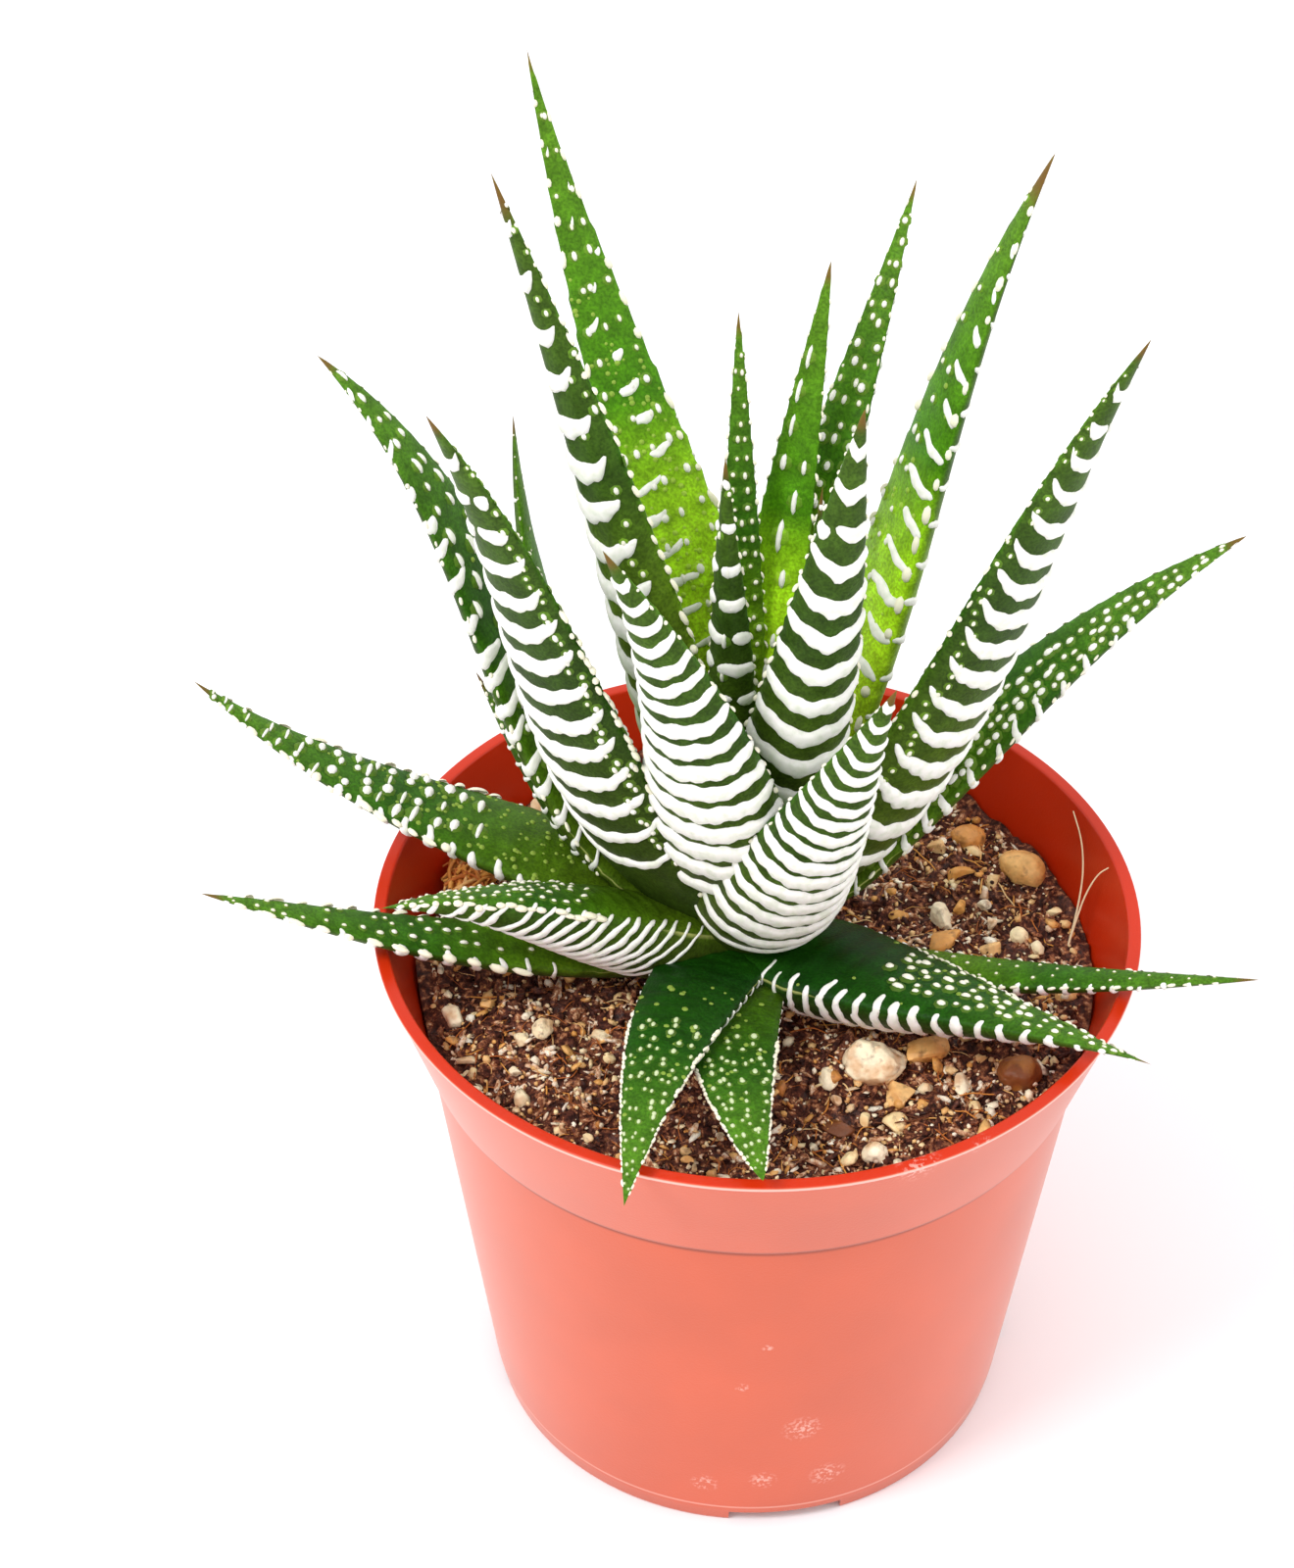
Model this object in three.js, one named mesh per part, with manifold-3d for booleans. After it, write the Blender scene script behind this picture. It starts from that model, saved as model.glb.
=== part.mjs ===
// A potted haworthia: a rosette of banded succulent leaves in a round nursery pot.
// Millimetres, +Z up. The pot stands on the ring under its floor.
import * as THREE from 'three';
import { mergeVertices } from 'three/addons/utils/BufferGeometryUtils.js';
import Module from 'manifold-3d';

const wasm = await Module();
wasm.setup();

// Driving dimensions of the whole
const seatGap = 0.3;                 // clearance between pieces that touch

// Driving dimensions of the pot
const potHeight = 73.2;
const rimRadius = 45;
const rimWidth = 1.9;
const collarHeight = 16.2;
const collarFootRadius = 39.9;
const collarStep = 0.5;
const baseRadius = 32.2;
const wallThickness = 1.3;
const footHeight = 2;
const footWidth = 1.6;
const footBevel = 0.5;               // the wall steps out by this much above the foot ring
const floorThickness = 1.4;
const floorCorner = 1.5;             // bevel between the floor and the wall inside
const rimDrop = 0.9;                 // depth of the rim's straight outer edge
const rimBevel = 0.4;
const potSides = 48;
const notchCount = 4;
const notchWidth = 12;
const notchHeight = 1.4;
const notchDepth = 8;
const notchTurn = 286;               // degrees, the first notch, near the front
const drainRadius = 3.2;
const drainRing = 23;
const drainCount = 6;
const drainTurn = 30;
const drainSides = 10;

// Driving dimensions of the soil
const soilLevel = 63.2;              // height at the pot's axis
const soilSlope = 0.055;             // rise towards the back, per millimetre
const soilBump = 0.7;
const soilSides = 32;
const soilRings = 5;
const soilCorner = 2;                // bevel at the bottom of the filling
const soilHub = 0.02;                // share of the radius left for the middle face

// Driving dimensions of the stem, which leans off the pot's axis
const stemX = -2;
const stemY = 3;
const stemFootRadius = 4.6;
const stemTopRadius = 1.8;
const stemFoot = 52;
const stemTop = 84;
const stemSides = 14;

// Driving dimensions that all leaves share
const ridgePitch = 6.5;              // spacing of the raised bands along a leaf
const ridgeHeight = 0.6;
const keelDepth = 0.72;              // share of the thickness below the margins
const handleShare = 0.38;            // how far the end directions hold along the curve
const tipBluntness = 0.35;           // smallest half width before the point
const tipDepth = 0.63;               // smallest depth before the point
const taperPower = 0.9;              // how early a leaf narrows, unless its row says otherwise
const footFlare = 0.78;
const footShare = 0.16;              // the part of the length over which the foot widens
const fullness = 0.95;               // below 1 the sides of a leaf bulge a little
const bowShare = 0.67;               // how much of the sway reaches the curve's handles

// One row for each leaf, innermost first. lean is the compass direction in degrees,
// reach the tip's distance from the stem, tip and foot are heights, rise and fall the slopes
// at the foot and at the tip, sway a sideways bow, roll a turn about the leaf's own line,
// start the foot's distance from the stem's axis, taper how early the leaf narrows and flare
// the foot's width as a share of the full width.
const leaves = [
  { lean: 245, reach: 6, tip: 139, foot: 84, rise: 90, fall: 86, width: 6.5, thick: 4, start: 2 },
  { lean: 98, reach: 12, tip: 146, foot: 84, rise: 88, fall: 75, width: 6, thick: 3.5, start: 2 },
  { lean: 330, reach: 9, tip: 135, foot: 84, rise: 78, fall: 85, width: 5.5, thick: 3.5, start: 2 },
  { lean: 67, reach: 21, tip: 148, foot: 82, rise: 90, fall: 70, width: 9, thick: 4.5 },
  { lean: 305, reach: 20, tip: 153, foot: 80, rise: 72, fall: 80, width: 13, thick: 6.5, roll: -25 },
  { lean: 164.5, reach: 28.5, tip: 165, foot: 80, rise: 77, fall: 70, width: 11.5, thick: 6,
    roll: 70, taper: 0.95 },
  { lean: 60, reach: 35, tip: 152, foot: 79, rise: 92, fall: 62, width: 11, thick: 5, taper: 1 },
  { lean: 35.5, reach: 39, tip: 160, foot: 78, rise: 54, fall: 60, sway: 2, width: 14,
    thick: 5.5, roll: -13 },
  { lean: 120, reach: 53, tip: 158.5, foot: 76, rise: 91, fall: 63, width: 16.5, thick: 5.5,
    roll: -2, taper: 1.15 },
  { lean: 234, reach: 25, tip: 137.5, foot: 76, rise: 62, fall: 67, sway: 9.5, width: 18.5,
    thick: 9, start: 1, roll: 16, taper: 1.0 },
  { lean: 349, reach: 41, tip: 156.5, foot: 72, rise: 50, fall: 65, width: 16, thick: 6, roll: -42 },
  { lean: 170, reach: 26, tip: 137, foot: 72, rise: 50, fall: 88, width: 9, thick: 4 },
  { lean: 204.5, reach: 36, tip: 150, foot: 71, rise: 53, fall: 63, width: 17.5, thick: 6, roll: 29 },
  { lean: 306.5, reach: 27, tip: 121.5, foot: 70, rise: 54, fall: 73, sway: -6, width: 17,
    thick: 8.5, start: 1.5, roll: -30, taper: 1.0 },
  { lean: 158, reach: 52.5, tip: 134, foot: 70, rise: 22, fall: 34, width: 17, thick: 5.5, roll: 4 },
  { lean: 12, reach: 57, tip: 118, foot: 70, rise: 39, fall: 28, width: 13, thick: 5.5, roll: 9 },
  { lean: 204, reach: 44, tip: 85, foot: 69, rise: 24, fall: 5, width: 15, thick: 11,
    roll: 22, taper: 1.1 },
  { lean: 325, reach: 56, tip: 78, foot: 68, rise: 6, fall: 8, width: 18, thick: 9,
    roll: -10, taper: 1.3 },
  { lean: 169.5, reach: 66, tip: 93, foot: 68, rise: 22, fall: 38, width: 15.5, thick: 5.5,
    roll: 5, taper: 1 },
  { lean: 160, reach: 33.5, tip: 96, foot: 67.5, rise: 5, fall: 60, width: 10, thick: 4, roll: 20 },
  { lean: 258, reach: 54, tip: 75, foot: 67.5, rise: 20, fall: -8, sway: -3.5, width: 12.5,
    thick: 5, taper: 1.0, flare: 1 },
  { lean: 274, reach: 50, tip: 76.5, foot: 66.5, rise: 12, fall: 6, sway: -4, width: 12,
    thick: 4, taper: 0.8 },
  { lean: 196, reach: 63, tip: 86, foot: 66.5, rise: 2, fall: 26, width: 9.5, thick: 4.5 },
  { lean: 340, reach: 62, tip: 81, foot: 66, rise: 6, fall: 20, width: 6.5, thick: 4 },
  { lean: 84, reach: 36, tip: 92, foot: 68, rise: 15, fall: 45, width: 13, thick: 5 },
  { lean: 112, reach: 33, tip: 84, foot: 66.5, rise: 8, fall: 35, width: 12, thick: 4.5 },
];

// Driving dimensions of the larger stones: place, then length, breadth and height, then turn
const stones = [
  { x: 14.4, y: -15.2, size: [8.2, 6.2, 4.8], turn: 12 },
  { x: 20.2, y: -12.6, size: [5.6, 4.6, 3.6], turn: 60 },
  { x: 31.4, y: -15.4, size: [6.2, 5, 4.2], turn: 35 },
  { x: 32.4, y: 17.8, size: [6.4, 4.6, 4.2], turn: 150 },
  { x: 25.8, y: 22.6, size: [4.6, 3.8, 3.4], turn: 10 },
  { x: 22.2, y: 10.6, size: [4.2, 3.2, 3], turn: 110 },
  { x: 31.6, y: 5.9, size: [2.6, 2.4, 2.4], turn: 70 },
  { x: 37, y: -3, size: [3, 2.8, 2.6], turn: 20 },
  { x: 16.9, y: -19.2, size: [4.2, 3.8, 3.2], turn: 45 },
  { x: 14.2, y: -28.8, size: [3.2, 2.9, 2.8], turn: 0 },
  { x: -35.4, y: -9.2, size: [4, 2.6, 2.6], turn: 115 },
  { x: -24.8, y: -11.2, size: [3.6, 3, 2.6], turn: 80 },
];
const stoneLift = 0.12;              // share of a stone's height by which its middle clears the soil
const coarseLump = 0.09;
const fineLump = 0.07;

const pieces = new THREE.Group();

function paint(color, roughness) {
  return new THREE.MeshStandardMaterial({ color, roughness, metalness: 0, flatShading: true });
}

const potPlastic = paint(0xd2603f, 0.55);
const soilPeat = paint(0x3b2418, 0.95);
const stemGreen = paint(0x6d8a3c, 0.7);
const leafGreen = paint(0x3f7a2a, 0.5);
const stoneCream = paint(0xd9c39a, 0.85);

function add(name, geometry, material) {
  const mesh = new THREE.Mesh(geometry, material);
  mesh.name = name;
  pieces.add(mesh);
}

function degrees(value) {
  return THREE.MathUtils.degToRad(value);
}

// A closed three.js geometry as a solid that can be cut and joined
function toSolid(geometry) {
  const plain = geometry.index ? geometry.clone() : geometry;
  plain.deleteAttribute('normal');
  plain.deleteAttribute('uv');
  const merged = mergeVertices(plain, 1e-5);
  const mesh = new wasm.Mesh({
    numProp: 3,
    vertProperties: new Float32Array(merged.attributes.position.array),
    triVerts: new Uint32Array(merged.index.array),
  });
  return new wasm.Manifold(mesh);
}

// The largest body of a solid as a three.js geometry
function toGeometry(solid) {
  const bodies = solid.decompose();
  const largest = bodies.reduce((best, body) => (body.volume() > best.volume() ? body : best));
  const mesh = largest.getMesh();
  const geometry = new THREE.BufferGeometry();
  geometry.setAttribute('position', new THREE.BufferAttribute(mesh.vertProperties, 3));
  geometry.setIndex(new THREE.BufferAttribute(mesh.triVerts, 1));
  geometry.computeVertexNormals();
  return geometry;
}

// Closed skin over rings of points: side walls between rings and a fan on each end
function skin(rings) {
  const sides = rings[0].length;
  const positions = rings.flat().flatMap((point) => [point.x, point.y, point.z]);
  const index = [];
  for (let row = 0; row < rings.length - 1; row++) {
    for (let side = 0; side < sides; side++) {
      const next = (side + 1) % sides;
      const a = row * sides + side;
      const b = row * sides + next;
      index.push(a, b, b + sides, a, b + sides, a + sides);
    }
  }
  const last = (rings.length - 1) * sides;
  for (let side = 1; side < sides - 1; side++) {
    index.push(0, side + 1, side);
    index.push(last, last + side, last + side + 1);
  }
  const geometry = new THREE.BufferGeometry();
  geometry.setAttribute('position', new THREE.Float32BufferAttribute(positions, 3));
  geometry.setIndex(index);
  return geometry;
}

// Height of the soil's uneven top
function soilTop(x, y) {
  const bumps = Math.sin(x * 0.31 + 1.2) * Math.cos(y * 0.27) + 0.6 * Math.sin(x * 0.13 - y * 0.41);
  return soilLevel + soilSlope * y + soilBump * bumps;
}

// Inner radius of the pot's wall at a height
function innerRadius(z) {
  const collarFoot = potHeight - collarHeight;
  if (z > collarFoot) {
    const share = (z - collarFoot) / collarHeight;
    const foot = collarFootRadius - wallThickness;
    return foot + share * (rimRadius - rimWidth - foot);
  }
  const share = (z - footHeight) / (collarFoot - footHeight);
  const foot = baseRadius + footBevel - wallThickness;
  return foot + share * (collarFootRadius - collarStep - wallThickness - foot);
}

function makePot() {
  const collarFoot = potHeight - collarHeight;
  const floorTop = footHeight + floorThickness;
  const outline = [
    [0, footHeight],
    [baseRadius - footWidth - footBevel * 2, footHeight],
    [baseRadius - footWidth - footBevel, 0],
    [baseRadius, 0],
    [baseRadius + footBevel, footHeight + footBevel],
    [collarFootRadius - collarStep, collarFoot - collarStep / 2],
    [collarFootRadius, collarFoot + collarStep / 2],
    [rimRadius - rimBevel, potHeight - rimDrop - rimBevel * 2],
    [rimRadius, potHeight - rimDrop],
    [rimRadius - rimBevel / 2, potHeight],
    [rimRadius - rimWidth, potHeight],
    [innerRadius(collarFoot + collarStep), collarFoot + collarStep],
    [innerRadius(collarFoot - collarStep / 2), collarFoot - collarStep / 2],
    [innerRadius(floorTop + floorCorner), floorTop + floorCorner],
    [innerRadius(floorTop) - floorCorner, floorTop],
    [0, floorTop],
  ];
  const profile = outline.map(([r, z]) => new THREE.Vector2(r, z));
  const shell = new THREE.LatheGeometry(profile, potSides);
  shell.rotateX(Math.PI / 2);
  let solid = toSolid(shell);
  for (let i = 0; i < notchCount; i++) {
    const turn = degrees(notchTurn + (i * 360) / notchCount);
    const notch = new THREE.BoxGeometry(notchDepth, notchWidth, notchHeight * 2);
    notch.rotateZ(turn);
    notch.translate(Math.cos(turn) * baseRadius, Math.sin(turn) * baseRadius, 0);
    solid = solid.subtract(toSolid(notch));
  }
  for (let i = 0; i <= drainCount; i++) {
    const turn = degrees((i * 360) / drainCount + drainTurn);
    const away = i < drainCount ? drainRing : 0;
    const drain = new THREE.CylinderGeometry(drainRadius, drainRadius, floorThickness * 4, drainSides);
    drain.rotateX(Math.PI / 2);
    drain.translate(Math.cos(turn) * away, Math.sin(turn) * away, footHeight + floorThickness / 2);
    solid = solid.subtract(toSolid(drain));
  }
  return solid;
}

function makeStem(grow) {
  const height = stemTop - stemFoot + grow * 2;
  const stem = new THREE.CylinderGeometry(stemTopRadius + grow, stemFootRadius + grow, height, stemSides);
  stem.rotateX(Math.PI / 2);
  stem.translate(stemX, stemY, (stemTop + stemFoot) / 2);
  return toSolid(stem);
}

// Share of the full width at s, which runs from 0 at the foot to 1 at the tip
function leafSpread(leaf, s) {
  const taper = leaf.taper ?? taperPower;
  const flare = leaf.flare ?? footFlare;
  const base = flare + (1 - flare) * Math.min(1, s / footShare);
  const narrowing = Math.sin((Math.PI / 2) * Math.pow(Math.max(0, 1 - s), taper));
  return base * Math.pow(narrowing, fullness);
}

function leafCurve(leaf) {
  const lean = degrees(leaf.lean);
  const rise = degrees(leaf.rise);
  const fall = degrees(leaf.fall);
  const out = new THREE.Vector3(Math.cos(lean), Math.sin(lean), 0);
  const side = new THREE.Vector3(-Math.sin(lean), Math.cos(lean), 0);
  const up = new THREE.Vector3(0, 0, 1);
  const foot = new THREE.Vector3(stemX, stemY, leaf.foot).addScaledVector(out, leaf.start ?? 3);
  const tip = new THREE.Vector3(stemX, stemY, leaf.tip).addScaledVector(out, leaf.reach);
  const handle = handleShare * foot.distanceTo(tip);
  const bow = (leaf.sway ?? 0) * bowShare;
  const first = foot.clone().addScaledVector(out, handle * Math.cos(rise));
  first.addScaledVector(up, handle * Math.sin(rise)).addScaledVector(side, bow);
  const second = tip.clone().addScaledVector(out, -handle * Math.cos(fall));
  second.addScaledVector(up, -handle * Math.sin(fall)).addScaledVector(side, bow);
  return { curve: new THREE.CubicBezierCurve3(foot, first, second, tip), side };
}

// Section of a leaf: flat inner face, round outer face. The outer points carry the bands.
const section = [
  { turn: 0, outer: false },
  { turn: 90, outer: false },
  { turn: 180, outer: false },
  { turn: 215, outer: true },
  { turn: 252, outer: true },
  { turn: 288, outer: true },
  { turn: 325, outer: true },
];

// A leaf with its raised bands, or grown all round and smooth, to cut a seat for it
function makeLeaf(leaf, grow) {
  const { curve, side } = leafCurve(leaf);
  const banded = grow === 0;
  const bands = Math.round(curve.getLength() / ridgePitch);
  const steps = banded ? bands * 2 : bands + 2;
  const roll = degrees(leaf.roll ?? 0);
  const rings = [];
  for (let step = 0; step <= steps; step++) {
    const s = step / steps;
    const centre = curve.getPoint(s);
    const along = curve.getTangent(s);
    const across = side.clone().addScaledVector(along, -side.dot(along)).normalize();
    const inward = new THREE.Vector3().crossVectors(across, along).negate();
    inward.applyAxisAngle(along, roll);
    across.applyAxisAngle(along, roll);
    const spread = leafSpread(leaf, s);
    const halfWidth = Math.max(tipBluntness, (leaf.width / 2) * spread) + grow;
    const depth = Math.max(tipDepth, leaf.thick * spread) + grow;
    const raised = !banded || step % 2 === 1;
    const crest = raised ? ridgeHeight * Math.min(1, spread * 2) : 0;
    rings.push(section.map(({ turn, outer }) => {
      const angle = degrees(turn);
      const x = Math.cos(angle) * (halfWidth + (outer ? crest : 0));
      const lift = Math.sin(angle);
      const y = outer ? lift * (depth * keelDepth + crest) : lift * (depth * (1 - keelDepth) + grow);
      return centre.clone().addScaledVector(across, x).addScaledVector(inward, y);
    }));
  }
  return toSolid(skin(rings));
}

function makeStone(stone, seed, grow) {
  const geometry = mergeVertices(stripped(new THREE.IcosahedronGeometry(0.5, 1)), 1e-4);
  const position = geometry.attributes.position;
  const [length, breadth, height] = stone.size;
  for (let i = 0; i < position.count; i++) {
    const v = new THREE.Vector3().fromBufferAttribute(position, i);
    const coarse = coarseLump * Math.sin(v.x * 7 + seed * 2.1) * Math.cos(v.y * 6 + seed);
    const fine = fineLump * Math.sin(v.z * 9 + seed);
    v.multiplyScalar(1 + coarse + fine);
    position.setXYZ(i, v.x * (length + grow * 2), v.y * (breadth + grow * 2), v.z * (height + grow * 2));
  }
  geometry.rotateZ(degrees(stone.turn));
  geometry.translate(stone.x, stone.y, soilTop(stone.x, stone.y) + height * stoneLift);
  return toSolid(geometry);
}

function stripped(geometry) {
  geometry.deleteAttribute('normal');
  geometry.deleteAttribute('uv');
  return geometry;
}

// Soil that fills the pot to its level, with an uneven top and a plain hole for the stem
function makeSoil() {
  const floor = footHeight + floorThickness + seatGap;
  const rings = [];
  const ringAt = (share, height) => {
    const ring = [];
    for (let i = 0; i < soilSides; i++) {
      const turn = (i / soilSides) * Math.PI * 2;
      const out = new THREE.Vector2(Math.cos(turn), Math.sin(turn));
      const level = height ?? soilTop(out.x * collarFootRadius, out.y * collarFootRadius);
      const reach = (innerRadius(level) - seatGap * 2) * share;
      const x = out.x * reach;
      const y = out.y * reach;
      ring.push(new THREE.Vector3(x, y, height ?? (share === 1 ? level : soilTop(x, y))));
    }
    return ring;
  };
  rings.push(ringAt(soilHub, floor));
  rings.push(ringAt(1 - soilCorner / baseRadius, floor));
  rings.push(ringAt(1, floor + soilCorner));
  rings.push(ringAt(1, potHeight - collarHeight - collarStep * 2));
  for (let i = 0; i < soilRings; i++) {
    rings.push(ringAt(1 - i / soilRings));
  }
  rings.push(ringAt(soilHub));
  return toSolid(skin(rings));
}

function addPlant() {
  const taken = [makeStem(seatGap)];
  const soilCutters = [];
  add('stem', toGeometry(makeStem(0)), stemGreen);
  leaves.forEach((leaf, i) => {
    let solid = makeLeaf(leaf, 0);
    for (const other of taken) {
      solid = solid.subtract(other);
    }
    add(`leaf_${String(i + 1).padStart(2, '0')}`, toGeometry(solid), leafGreen);
    const grown = makeLeaf(leaf, seatGap);
    taken.push(grown);
    soilCutters.push(grown);
  });
  return soilCutters;
}

function addSoil(cutters) {
  let soil = makeSoil().subtract(makeStem(seatGap));
  for (const cutter of cutters) {
    soil = soil.subtract(cutter);
  }
  stones.forEach((stone, i) => {
    let body = makeStone(stone, i, 0);
    for (const cutter of cutters) {
      body = body.subtract(cutter);
    }
    add(`stone_${String(i + 1).padStart(2, '0')}`, toGeometry(body), stoneCream);
    soil = soil.subtract(makeStone(stone, i, seatGap));
  });
  add('soil', toGeometry(soil), soilPeat);
}

add('pot', toGeometry(makePot()), potPlastic);
addSoil(addPlant());

// The origin goes under the middle of the whole, on the surface that it stands on
const bounds = new THREE.Box3().setFromObject(pieces);
const middle = bounds.getCenter(new THREE.Vector3());
pieces.position.set(-middle.x, -middle.y, -bounds.min.z);

const root = new THREE.Group();
root.add(pieces);

export default root;
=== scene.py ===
import math

import bmesh
import bpy
import numpy as np
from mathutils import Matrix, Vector


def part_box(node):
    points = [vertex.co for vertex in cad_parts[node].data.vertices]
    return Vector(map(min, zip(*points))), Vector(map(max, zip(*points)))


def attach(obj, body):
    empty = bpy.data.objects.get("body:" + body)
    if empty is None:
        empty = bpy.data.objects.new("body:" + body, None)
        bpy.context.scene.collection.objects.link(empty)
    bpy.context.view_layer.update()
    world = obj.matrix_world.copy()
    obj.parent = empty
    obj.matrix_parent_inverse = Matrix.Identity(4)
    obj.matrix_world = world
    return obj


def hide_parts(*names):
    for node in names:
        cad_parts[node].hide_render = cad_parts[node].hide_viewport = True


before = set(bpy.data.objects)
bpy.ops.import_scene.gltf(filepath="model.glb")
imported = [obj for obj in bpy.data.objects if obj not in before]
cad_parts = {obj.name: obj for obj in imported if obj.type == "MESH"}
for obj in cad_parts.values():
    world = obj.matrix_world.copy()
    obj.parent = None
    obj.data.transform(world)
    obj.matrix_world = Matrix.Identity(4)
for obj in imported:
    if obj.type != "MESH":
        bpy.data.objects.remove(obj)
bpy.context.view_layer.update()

mm = 0.001                              # lengths below are millimetres until they become a mesh

potLow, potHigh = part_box("pot")
potAxis = (np.array(potLow) + np.array(potHigh)) / 2 / mm
potAxis[2] = 0.0                        # where the pot's own axis meets the table


# Small helpers

def hexColor(code):
    # sRGB hex to the linear values that shaders want
    parts = [int(code[i:i + 2], 16) / 255 for i in (1, 3, 5)]
    return [c / 12.92 if c <= 0.04045 else ((c + 0.055) / 1.055) ** 2.4 for c in parts] + [1.0]


def newMaterial(name):
    material = bpy.data.materials.new(name)
    material.use_nodes = True
    tree = material.node_tree
    tree.nodes.clear()
    output = tree.nodes.new("ShaderNodeOutputMaterial")
    shader = tree.nodes.new("ShaderNodeBsdfPrincipled")
    tree.links.new(shader.outputs["BSDF"], output.inputs["Surface"])
    return material, tree, shader


def setInputs(tree, node, inputs):
    # each input gets a plain value or the socket of another node
    for key, value in inputs.items():
        if isinstance(value, bpy.types.NodeSocket):
            tree.links.new(value, node.inputs[key])
        else:
            node.inputs[key].default_value = value


def addNode(tree, kind, inputs=None, out=0, stops=(), **settings):
    # one node with its settings and links; gives back one of its output sockets
    node = tree.nodes.new(kind)
    for key, value in settings.items():
        setattr(node, key, value)
    setInputs(tree, node, inputs or {})
    for i, (place, color) in enumerate(stops):
        elements = node.color_ramp.elements
        element = elements[i] if i < 2 else elements.new(place)
        element.position = place
        element.color = hexColor(color)
    return node.outputs[out]


# Settings of a mix node for colours. Its inputs are 0 the share, 6 the first colour and 7 the second. A map
# range node, used more often, takes the span from input 1 to 2 to the span from 3 to 4, or 0 to 1.
mixColors = {"out": 2, "data_type": "RGBA"}
multiplyColors = {**mixColors, "blend_type": "MULTIPLY"}


def setSurface(tree, shader, inputs, bump=None, depthMm=0.0):
    # bump is a socket that stands for relief of this depth
    setInputs(tree, shader, inputs)
    if bump is not None:
        normal = addNode(tree, "ShaderNodeBump", {
            "Height": bump, "Strength": 1.0, "Distance": depthMm * mm})
        tree.links.new(normal, shader.inputs["Normal"])


def perMetre(sizeMm):
    # noise scale that gives spots of this size in object space
    return 1 / (sizeMm * mm)


def smoothStep(x, low, high):
    t = np.clip((x - low) / (high - low), 0.0, 1.0)
    return t * t * (3 - 2 * t)


def unit(v):
    return v / np.linalg.norm(v, axis=-1, keepdims=True)


def heading(angle):
    # level directions: at this angle round the vertical, and square to it
    c, s = math.cos(angle), math.sin(angle)
    return np.array([c, s, 0.0]), np.array([-s, c, 0.0])


def roundTurns(count):
    return np.linspace(0, 2 * np.pi, count, endpoint=False)


def lumps(points, size, seed):
    # smooth noise from -1 to 1 with spots of about this size
    q = np.asarray(points, float) / size
    cell = np.floor(q).astype(np.int64)
    t = smoothStep(q - cell, 0, 1)
    total = np.zeros(q.shape[:-1])
    for corner in np.ndindex(2, 2, 2):
        key = cell + np.array(corner)
        n = key[..., 0] * 73856093 ^ key[..., 1] * 19349663 ^ key[..., 2] * 83492791 ^ (seed * 2654435761)
        n = (n ^ (n >> 13)) * 1274126177 & 0x7FFFFFFF
        n = (n ^ (n >> 15)) & 0xFFFFF
        weight = np.prod(np.where(np.array(corner) == 1, t, 1 - t), axis=-1)
        total += weight * (n / 0xFFFFF * 2 - 1)
    return total


def gridFaces(rows, columns, closed):
    # quads over a grid of points, rows first; closed joins the last column to the first
    row = np.arange(rows - 1)[:, None]
    column = np.arange(columns if closed else columns - 1)[None, :]
    a = row * columns + column
    b = row * columns + (column + 1) % columns
    return np.stack([a, b, b + columns, a + columns], axis=-1).reshape(-1, 4)


def closedTube(rings, sides):
    # face arrays of a tube whose ends close on two more points, first the start's and then the end's
    ring = np.arange(sides)
    following = (ring + 1) % sides
    last = (rings - 1) * sides
    start = np.stack([np.full(sides, rings * sides), following, ring], axis=-1)
    end = np.stack([np.full(sides, rings * sides + 1), last + ring, last + following], axis=-1)
    return [gridFaces(rings, sides, True), start, end]


def patch(points, faces, material=0, **values):
    # a bit of mesh: points in mm from the pot's axis, one or more face arrays, point attributes
    faces = faces if isinstance(faces, list) else [faces]
    return {"points": points.reshape(-1, 3), "faces": faces, "material": material, "values": values}


def copies(shape, faces, count):
    # face arrays for this many copies of one shape
    start = (np.arange(count) * len(shape))[:, None, None]
    return [(part[None] + start).reshape(-1, part.shape[1]) for part in faces]


def addObject(name, data):
    made = bpy.data.objects.new(name, data)
    bpy.context.scene.collection.objects.link(made)
    return made


def aimObject(made, direction):
    # lights and cameras look along their own -Z
    made.rotation_mode = "QUATERNION"
    made.rotation_quaternion = direction.to_track_quat("-Z", "Y")


def buildPiece(name, patches, materials, attributes=()):
    # joins patches into one mesh object that rides on the root body
    points, corners, sizes, slots, start = [], [], [], [], 0
    extra = {key: [] for key in attributes}
    for part in patches:
        points.append(part["points"])
        for faces in part["faces"]:
            corners.append((faces + start).ravel())
            sizes.append(np.full(len(faces), faces.shape[1]))
            slots.append(np.full(len(faces), part["material"]))
        for key in attributes:
            value = np.asarray(part["values"].get(key, 0.0), float)
            extra[key].append(np.broadcast_to(value, (len(part["points"]),)))
        start += len(part["points"])
    corners, sizes = np.concatenate(corners), np.concatenate(sizes)
    mesh = bpy.data.meshes.new(name)
    mesh.vertices.add(start)
    mesh.vertices.foreach_set("co", ((np.concatenate(points) + potAxis) * mm).ravel())
    mesh.loops.add(len(corners))
    mesh.loops.foreach_set("vertex_index", corners)
    mesh.polygons.add(len(sizes))
    mesh.polygons.foreach_set("loop_start", np.concatenate([[0], np.cumsum(sizes)[:-1]]))
    mesh.polygons.foreach_set("material_index", np.concatenate(slots))
    mesh.polygons.foreach_set("use_smooth", np.ones(len(sizes), bool))
    for material in materials:
        mesh.materials.append(material)
    for key in attributes:
        layer = mesh.attributes.new(key, "FLOAT", "POINT")
        layer.data.foreach_set("value", np.concatenate(extra[key]).astype(np.float32))
    mesh.update(calc_edges=True)
    mesh.validate()
    piece = addObject(name, mesh)
    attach(piece, "root")
    return piece


# Camera and studio

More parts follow.
